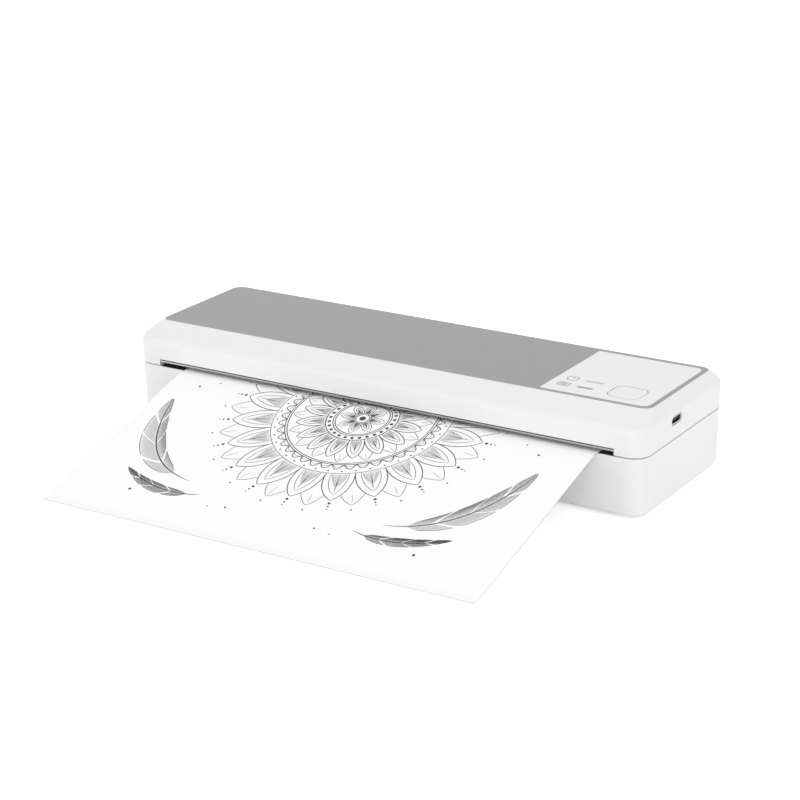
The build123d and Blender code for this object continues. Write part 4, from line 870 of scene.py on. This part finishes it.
# %% [markdown]
# The button sits in a narrow gap. A pale line is printed round that gap, so the button reads as a
# thin even frame: the line is print and also painted shade, which stands for the gap's dark line
# where the gap's own shade is uneven. It is a plane with bevelled corners, made to an outline like
# the signs. The button's solid has a flange under the panel, so its top is that much smaller than
# its box.

# %% Print the button's frame
button_low, button_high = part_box("power_button")
button_middle = (button_low + button_high) / 2
button_flange = 1.1 * MM
button_corner = 3.8 * MM
button_gap = 0.25 * MM
frame_line = 0.12 * MM
frame_out = button_gap + frame_line
frame_size = [button_high[axis] - button_low[axis] - 2 * button_flange + 2 * frame_out for axis in (0, 1)]

bpy.ops.mesh.primitive_plane_add(size=1, location=(button_middle.x, button_middle.y, sign_height))
button_frame = bpy.context.object
button_frame.name = "button_frame"
button_frame.scale = (*frame_size, 1)
settle(button_frame)
edit(button_frame)
bpy.ops.mesh.select_all(action="SELECT")
bpy.ops.mesh.bevel(offset=button_corner + frame_out, segments=14, affect="VERTICES")
bpy.ops.object.mode_set(mode="OBJECT")
outline(button_frame, frame_line)
# The frame is print and painted gap shade in one.
print_film(button_frame, frame_print_and_shade)
print("button frame", [round(size / MM, 2) for size in frame_size], "mm")

# %% [markdown]
# ## Cables, springs and the socket
#
# The flat cable from base to cover has some slack under the deck, so that it can follow the cover.
# It is a strip drawn along a bent line, with a bow in its upright run. The head's cable is shorter
# and is drawn in the same way; the head has a small lift.

# %% Helpers for flat cables
def rounded(points, radius, steps=6):
    """Round the corners of a line in the YZ plane."""
    line = [Vector(points[0])]
    for before, corner, after in zip(points, points[1:], points[2:]):
        corner = Vector(corner)
        coming = (corner - Vector(before)).normalized()
        going = (Vector(after) - corner).normalized()
        reach = radius * math.tan(coming.angle(going) / 2)
        for step in range(steps + 1):
            share = step / steps
            first = corner - coming * reach * (1 - share)
            second = corner + going * reach * share
            line.append(first.lerp(second, share))
    return line + [Vector(points[-1])]


def flat_strip(name, node, line, thickness, columns=4):
    """Draw a flat cable along a line in the YZ plane, as wide as the solid that it stands for."""
    low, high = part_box(node)
    points = [(low.x + (high.x - low.x) * column / columns, place.x, place.y)
              for place in line for column in range(columns + 1)]
    faces = [(row * (columns + 1) + column, row * (columns + 1) + column + 1,
              (row + 1) * (columns + 1) + column + 1, (row + 1) * (columns + 1) + column)
             for row in range(len(line) - 1) for column in range(columns)]
    made = mesh_piece(name, points, faces)
    outward(made)
    modify(made, "SOLIDIFY", thickness=thickness, offset=0)
    bpy.ops.object.shade_smooth_by_angle(angle=math.radians(40))
    made.data.materials.append(flat_cable)
    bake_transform(made)
    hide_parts(node)
    length = sum((after - before).length for before, after in zip(line, line[1:]))
    print(name, round(length / MM, 1), "mm long")


# %% The cable from base to cover
low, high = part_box("main_ribbon")
board_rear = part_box("main_board")[1].y
cable = 0.3 * MM
slack_bend, top_turn = 1.2 * MM, 1.5 * MM
slack_rise, slack_bow = 16 * MM, 3.2 * MM
slack_steps = 12
upright = high.y - cable / 2
foot, top = low.z + cable / 2, high.z - cable / 2
slack = [Vector((upright + slack_bow * math.sin(math.pi * step / slack_steps) ** 2,
                 foot + slack_rise * step / slack_steps)) for step in range(2, slack_steps + 1)]
main_line = rounded([(low.y, foot), (upright, foot), slack[0]], slack_bend)
main_line += slack[1:]
main_line += rounded([slack[-1], (upright, top), (board_rear, top)], top_turn)[1:]
flat_strip("main_flat_cable", "main_ribbon", main_line, cable)

# %% The head's cable
low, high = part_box("head_ribbon")
cable = 0.2 * MM
head_turn = 0.75 * MM
climb_steps = 6
upright = high.y - cable / 2
foot = low.z + cable / 2
head_line = rounded([(low.y, foot), (upright, foot), (upright, high.z)], head_turn)[:-1]
climb = head_line[-1].y
head_line += [Vector((upright, climb + (high.z - climb) * step / climb_steps))
              for step in range(1, climb_steps + 1)]
flat_strip("head_flat_cable", "head_ribbon", head_line, cable)

# %% [markdown]
# A compression spring is wound from one wire. Its end turns lie flat on the seats and its middle
# turns rise evenly. The wire's circle is carried along that line, and the three springs are joined
# to one piece. The head above them lifts by a third of a millimetre.

# %% A helper for wire
def wire(line, radius, sides=10):
    """Give the points and faces of a round wire along a line, closed at both ends."""
    points, faces = [], []
    for place, point in enumerate(line):
        along = (line[min(place + 1, len(line) - 1)] - line[max(place - 1, 0)]).normalized()
        out = along.cross(Vector((0, 0, 1))).normalized()
        rise = out.cross(along)
        for side in range(sides):
            turn = 2 * math.pi * side / sides
            points.append(point + radius * (math.cos(turn) * out + math.sin(turn) * rise))
    for place in range(len(line) - 1):
        for side in range(sides):
            first, second = place * sides + side, place * sides + (side + 1) % sides
            faces.append((first, second, second + sides, first + sides))
    faces.append(tuple(range(sides))[::-1])
    faces.append(tuple(range(len(points) - sides, len(points))))
    return points, faces


# %% The three springs
low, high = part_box("head_springs")
spring_wire = 0.25 * MM
turns, seat_turns, turn_steps = 6.5, 0.6, 30
seat_rise = 2.05 * spring_wire
seat_ease = 0.35
coil_radius = (high.y - low.y) / 2 - spring_wire
spring_low, spring_high = low.z + spring_wire, high.z - spring_wire
coil = []
for step in range(int(turns * turn_steps) + 1):
    turn = step / turn_steps
    angle = 2 * math.pi * turn
    share = min(1.0, max(0.0, (turn - seat_turns) / (turns - 2 * seat_turns)))
    share -= seat_ease * math.sin(2 * math.pi * share) / (2 * math.pi)
    lower = seat_rise * min(turn / seat_turns, 1.0)
    upper = seat_rise * min((turns - turn) / seat_turns, 1.0)
    height = spring_low + lower + (spring_high - spring_low - lower - upper) * share
    coil.append(Vector((coil_radius * math.cos(angle), coil_radius * math.sin(angle), height)))
spring_middle = (low + high) / 2
spring_reach = (high.x - low.x) / 2 - coil_radius - spring_wire
points, faces = wire(coil, spring_wire)
springs = []
for place in (-1, 0, 1):
    shift = Vector((spring_middle.x + place * spring_reach, spring_middle.y, 0))
    made = mesh_piece("spring", [point + shift for point in points], faces)
    outward(made)
    bpy.ops.object.shade_smooth_by_angle(angle=math.radians(60))
    springs.append(made)
springs = join("wound_springs", springs)
springs.data.materials.append(spring_steel)
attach(springs, "cover")
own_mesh(springs)
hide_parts("head_springs")
print("springs", round(2 * (coil_radius + spring_wire) / MM, 2), "mm wide,", turns, "turns")

# %% [markdown]
# The socket is a drawn steel shell, a rounded tube with a closed back. Its tongue is black plastic,
# starts 0.7 mm inside the mouth and has a row of gold-plated contacts on both faces.

# %% The charging socket
socket_low, socket_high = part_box("usb_socket")
socket_middle = (socket_low + socket_high) / 2
shell_wall = 0.3 * MM
side_flat = 0.02 * MM


def capsule(width, height, x, sides=16):
    """Give the outline of a rounded slot that faces along X."""
    radius = height / 2 - side_flat
    places = []
    for way, corner in ((1, 0), (-1, 1)):
        for step in range(sides + 1):
            turn = math.pi * (step / sides - 0.5) + math.pi * corner
            places.append(Vector((x, socket_middle.y + way * (width / 2 - radius) + radius * math.cos(turn),
                                  socket_middle.z + radius * math.sin(turn))))
    return places


width, height = socket_high.y - socket_low.y, socket_high.z - socket_low.z
inside = (width - 2 * shell_wall, height - 2 * shell_wall)
loops = [capsule(width, height, socket_low.x), capsule(width, height, socket_high.x),
         capsule(*inside, socket_high.x), capsule(*inside, socket_low.x + 2 * shell_wall)]
count = len(loops[0])
points = [point for loop in loops for point in loop]
faces = [(loop * count + side, loop * count + (side + 1) % count,
          (loop + 1) * count + (side + 1) % count, (loop + 1) * count + side)
         for loop in range(len(loops) - 1) for side in range(count)]
faces += [tuple(range(count))[::-1], tuple(range(len(points) - count, len(points)))]
shell = mesh_piece("socket_shell", points, faces)
outward(shell)
bpy.ops.object.shade_smooth_by_angle(angle=math.radians(40))
shell.data.materials.append(strip_steel)
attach(shell, "cover")
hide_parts("usb_socket")
print("socket mouth", round(width / MM, 2), "by", round(height / MM, 2), "mm")

# %% The socket's tongue and contacts
tongue_back, tongue_front = 2 * shell_wall, 0.7 * MM
tongue_size = Vector((socket_high.x - socket_low.x - tongue_back - tongue_front, 6.7 * MM, 0.7 * MM))
tongue_middle = Vector((socket_low.x + tongue_back + tongue_size.x / 2, socket_middle.y, socket_middle.z))
contacts, contact_pitch, contact_forward = 12, 0.5 * MM, 0.6 * MM
contact_size = Vector((3.2, 0.26, 0.04)) * MM
contact_proud = 0.01 * MM

bpy.ops.mesh.primitive_cube_add(size=1, location=tongue_middle)
tongue = bpy.context.object
tongue.name = "socket_tongue"
tongue.scale = tongue_size
settle(tongue)
modify(tongue, "BEVEL", width=0.12 * MM, segments=2)
tongue.data.materials.append(black_acetal)
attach(tongue, "cover")
pads = []
for row in (-1, 1):
    for contact in range(contacts):
        bpy.ops.mesh.primitive_cube_add(size=1, location=tongue_middle + Vector((
            contact_forward, (contact - (contacts - 1) / 2) * contact_pitch,
            row * (tongue_size.z / 2 + contact_proud))))
        pad = bpy.context.object
        pad.scale = contact_size
        settle(pad)
        pads.append(pad)
pads = join("socket_contacts", pads)
pads.data.materials.append(gold_plate)
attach(pads, "cover")
print("contacts", 2 * contacts)

# %% [markdown]
# The head's heater is a printed line of resistors under the glaze, right over the roller's axis,
# with the fine comb of its leads on both sides.

# %% The heater line
heater_film = 0.02 * MM
heater_depth, comb_depth, comb_offset = 0.35 * MM, 0.9 * MM, 1.6 * MM
heater_x = (ceramic_low.x + ceramic_high.x) / 2
strips = []
for offset, depth in ((0, heater_depth), (-comb_offset, comb_depth), (comb_offset, comb_depth)):
    bpy.ops.mesh.primitive_cube_add(size=1, location=(heater_x, heater_y + offset,
                                                      ceramic_low.z - heater_film / 2))
    strip = bpy.context.object
    strip.scale = (cut_width, depth, heater_film)
    settle(strip)
    strips.append(strip)
heater = join("heater_line", strips)
heater.data.materials.append(heater_glass)
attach(heater, "print_head")
print("heater", round(cut_width / MM, 1), "mm long")

# %% [markdown]
# ## Floor and light
#
# The machine stands on a white sweep, in the even light of a studio tent: a pale world on all
# sides, and one soft lamp low in front, which lights the upright faces that the tent's top misses.
# The floor is a lit table: it glows a little, which softens the shade under the sheet. For the
# camera and for reflections it is made brighter still, so it reads as pure white.

# %% The lit table
floor_size = 30000 * MM
table_glow, table_seen = 0.06, 0.5
bpy.ops.object.select_all(action="DESELECT")
bpy.ops.mesh.primitive_plane_add(size=floor_size)
floor = bpy.context.object
floor.name = "floor"
sweep = bpy.data.materials.new("Paper sweep, white")
sweep.use_nodes = True
tree = sweep.node_tree
tree.nodes.clear()
rays = add(tree, "ShaderNodeLightPath")
matt = add(tree, "ShaderNodeBsdfDiffuse", {"Color": colour("F4F4F4")})
seen = add(tree, "ShaderNodeMath", {0: rays.outputs["Is Camera Ray"], 1: rays.outputs["Is Glossy Ray"]},
           operation="MAXIMUM")
lift = add(tree, "ShaderNodeMapRange", {"Value": seen.outputs[0], "To Min": table_glow,
                                        "To Max": table_seen})
glow = add(tree, "ShaderNodeEmission", {"Color": (1, 1, 1, 1), "Strength": lift.outputs[0]})
both = add(tree, "ShaderNodeAddShader", {0: matt.outputs[0], 1: glow.outputs[0]})
add(tree, "ShaderNodeOutputMaterial", {"Surface": both.outputs[0]})
floor.data.materials.append(sweep)

# %% The tent and the low lamp
tent = 0.925
world = bpy.data.worlds.new("studio tent")
bpy.context.scene.world = world
world.use_nodes = True
tree = world.node_tree
tree.nodes.clear()
rays = add(tree, "ShaderNodeLightPath")
level = add(tree, "ShaderNodeMapRange", {"Value": rays.outputs["Is Camera Ray"], "To Min": tent,
                                         "To Max": 1.0})
sky = add(tree, "ShaderNodeBackground", {"Color": (1, 1, 1, 1), "Strength": level.outputs[0]})
add(tree, "ShaderNodeOutputWorld", {"Surface": sky.outputs[0]})

lamp_place = Vector((500, -1600, 250)) * MM
lamp_size = 500 * MM
lamp_watts = 3.0
bpy.ops.object.light_add(type="AREA", location=lamp_place)
lamp = bpy.context.object
lamp.name = "low lamp"
lamp.data.size = lamp_size
lamp.data.energy = lamp_watts
lamp.rotation_euler = (-lamp_place).to_track_quat("-Z", "Y").to_euler()
print("tent", tent, "and one lamp of", lamp_watts, "W")
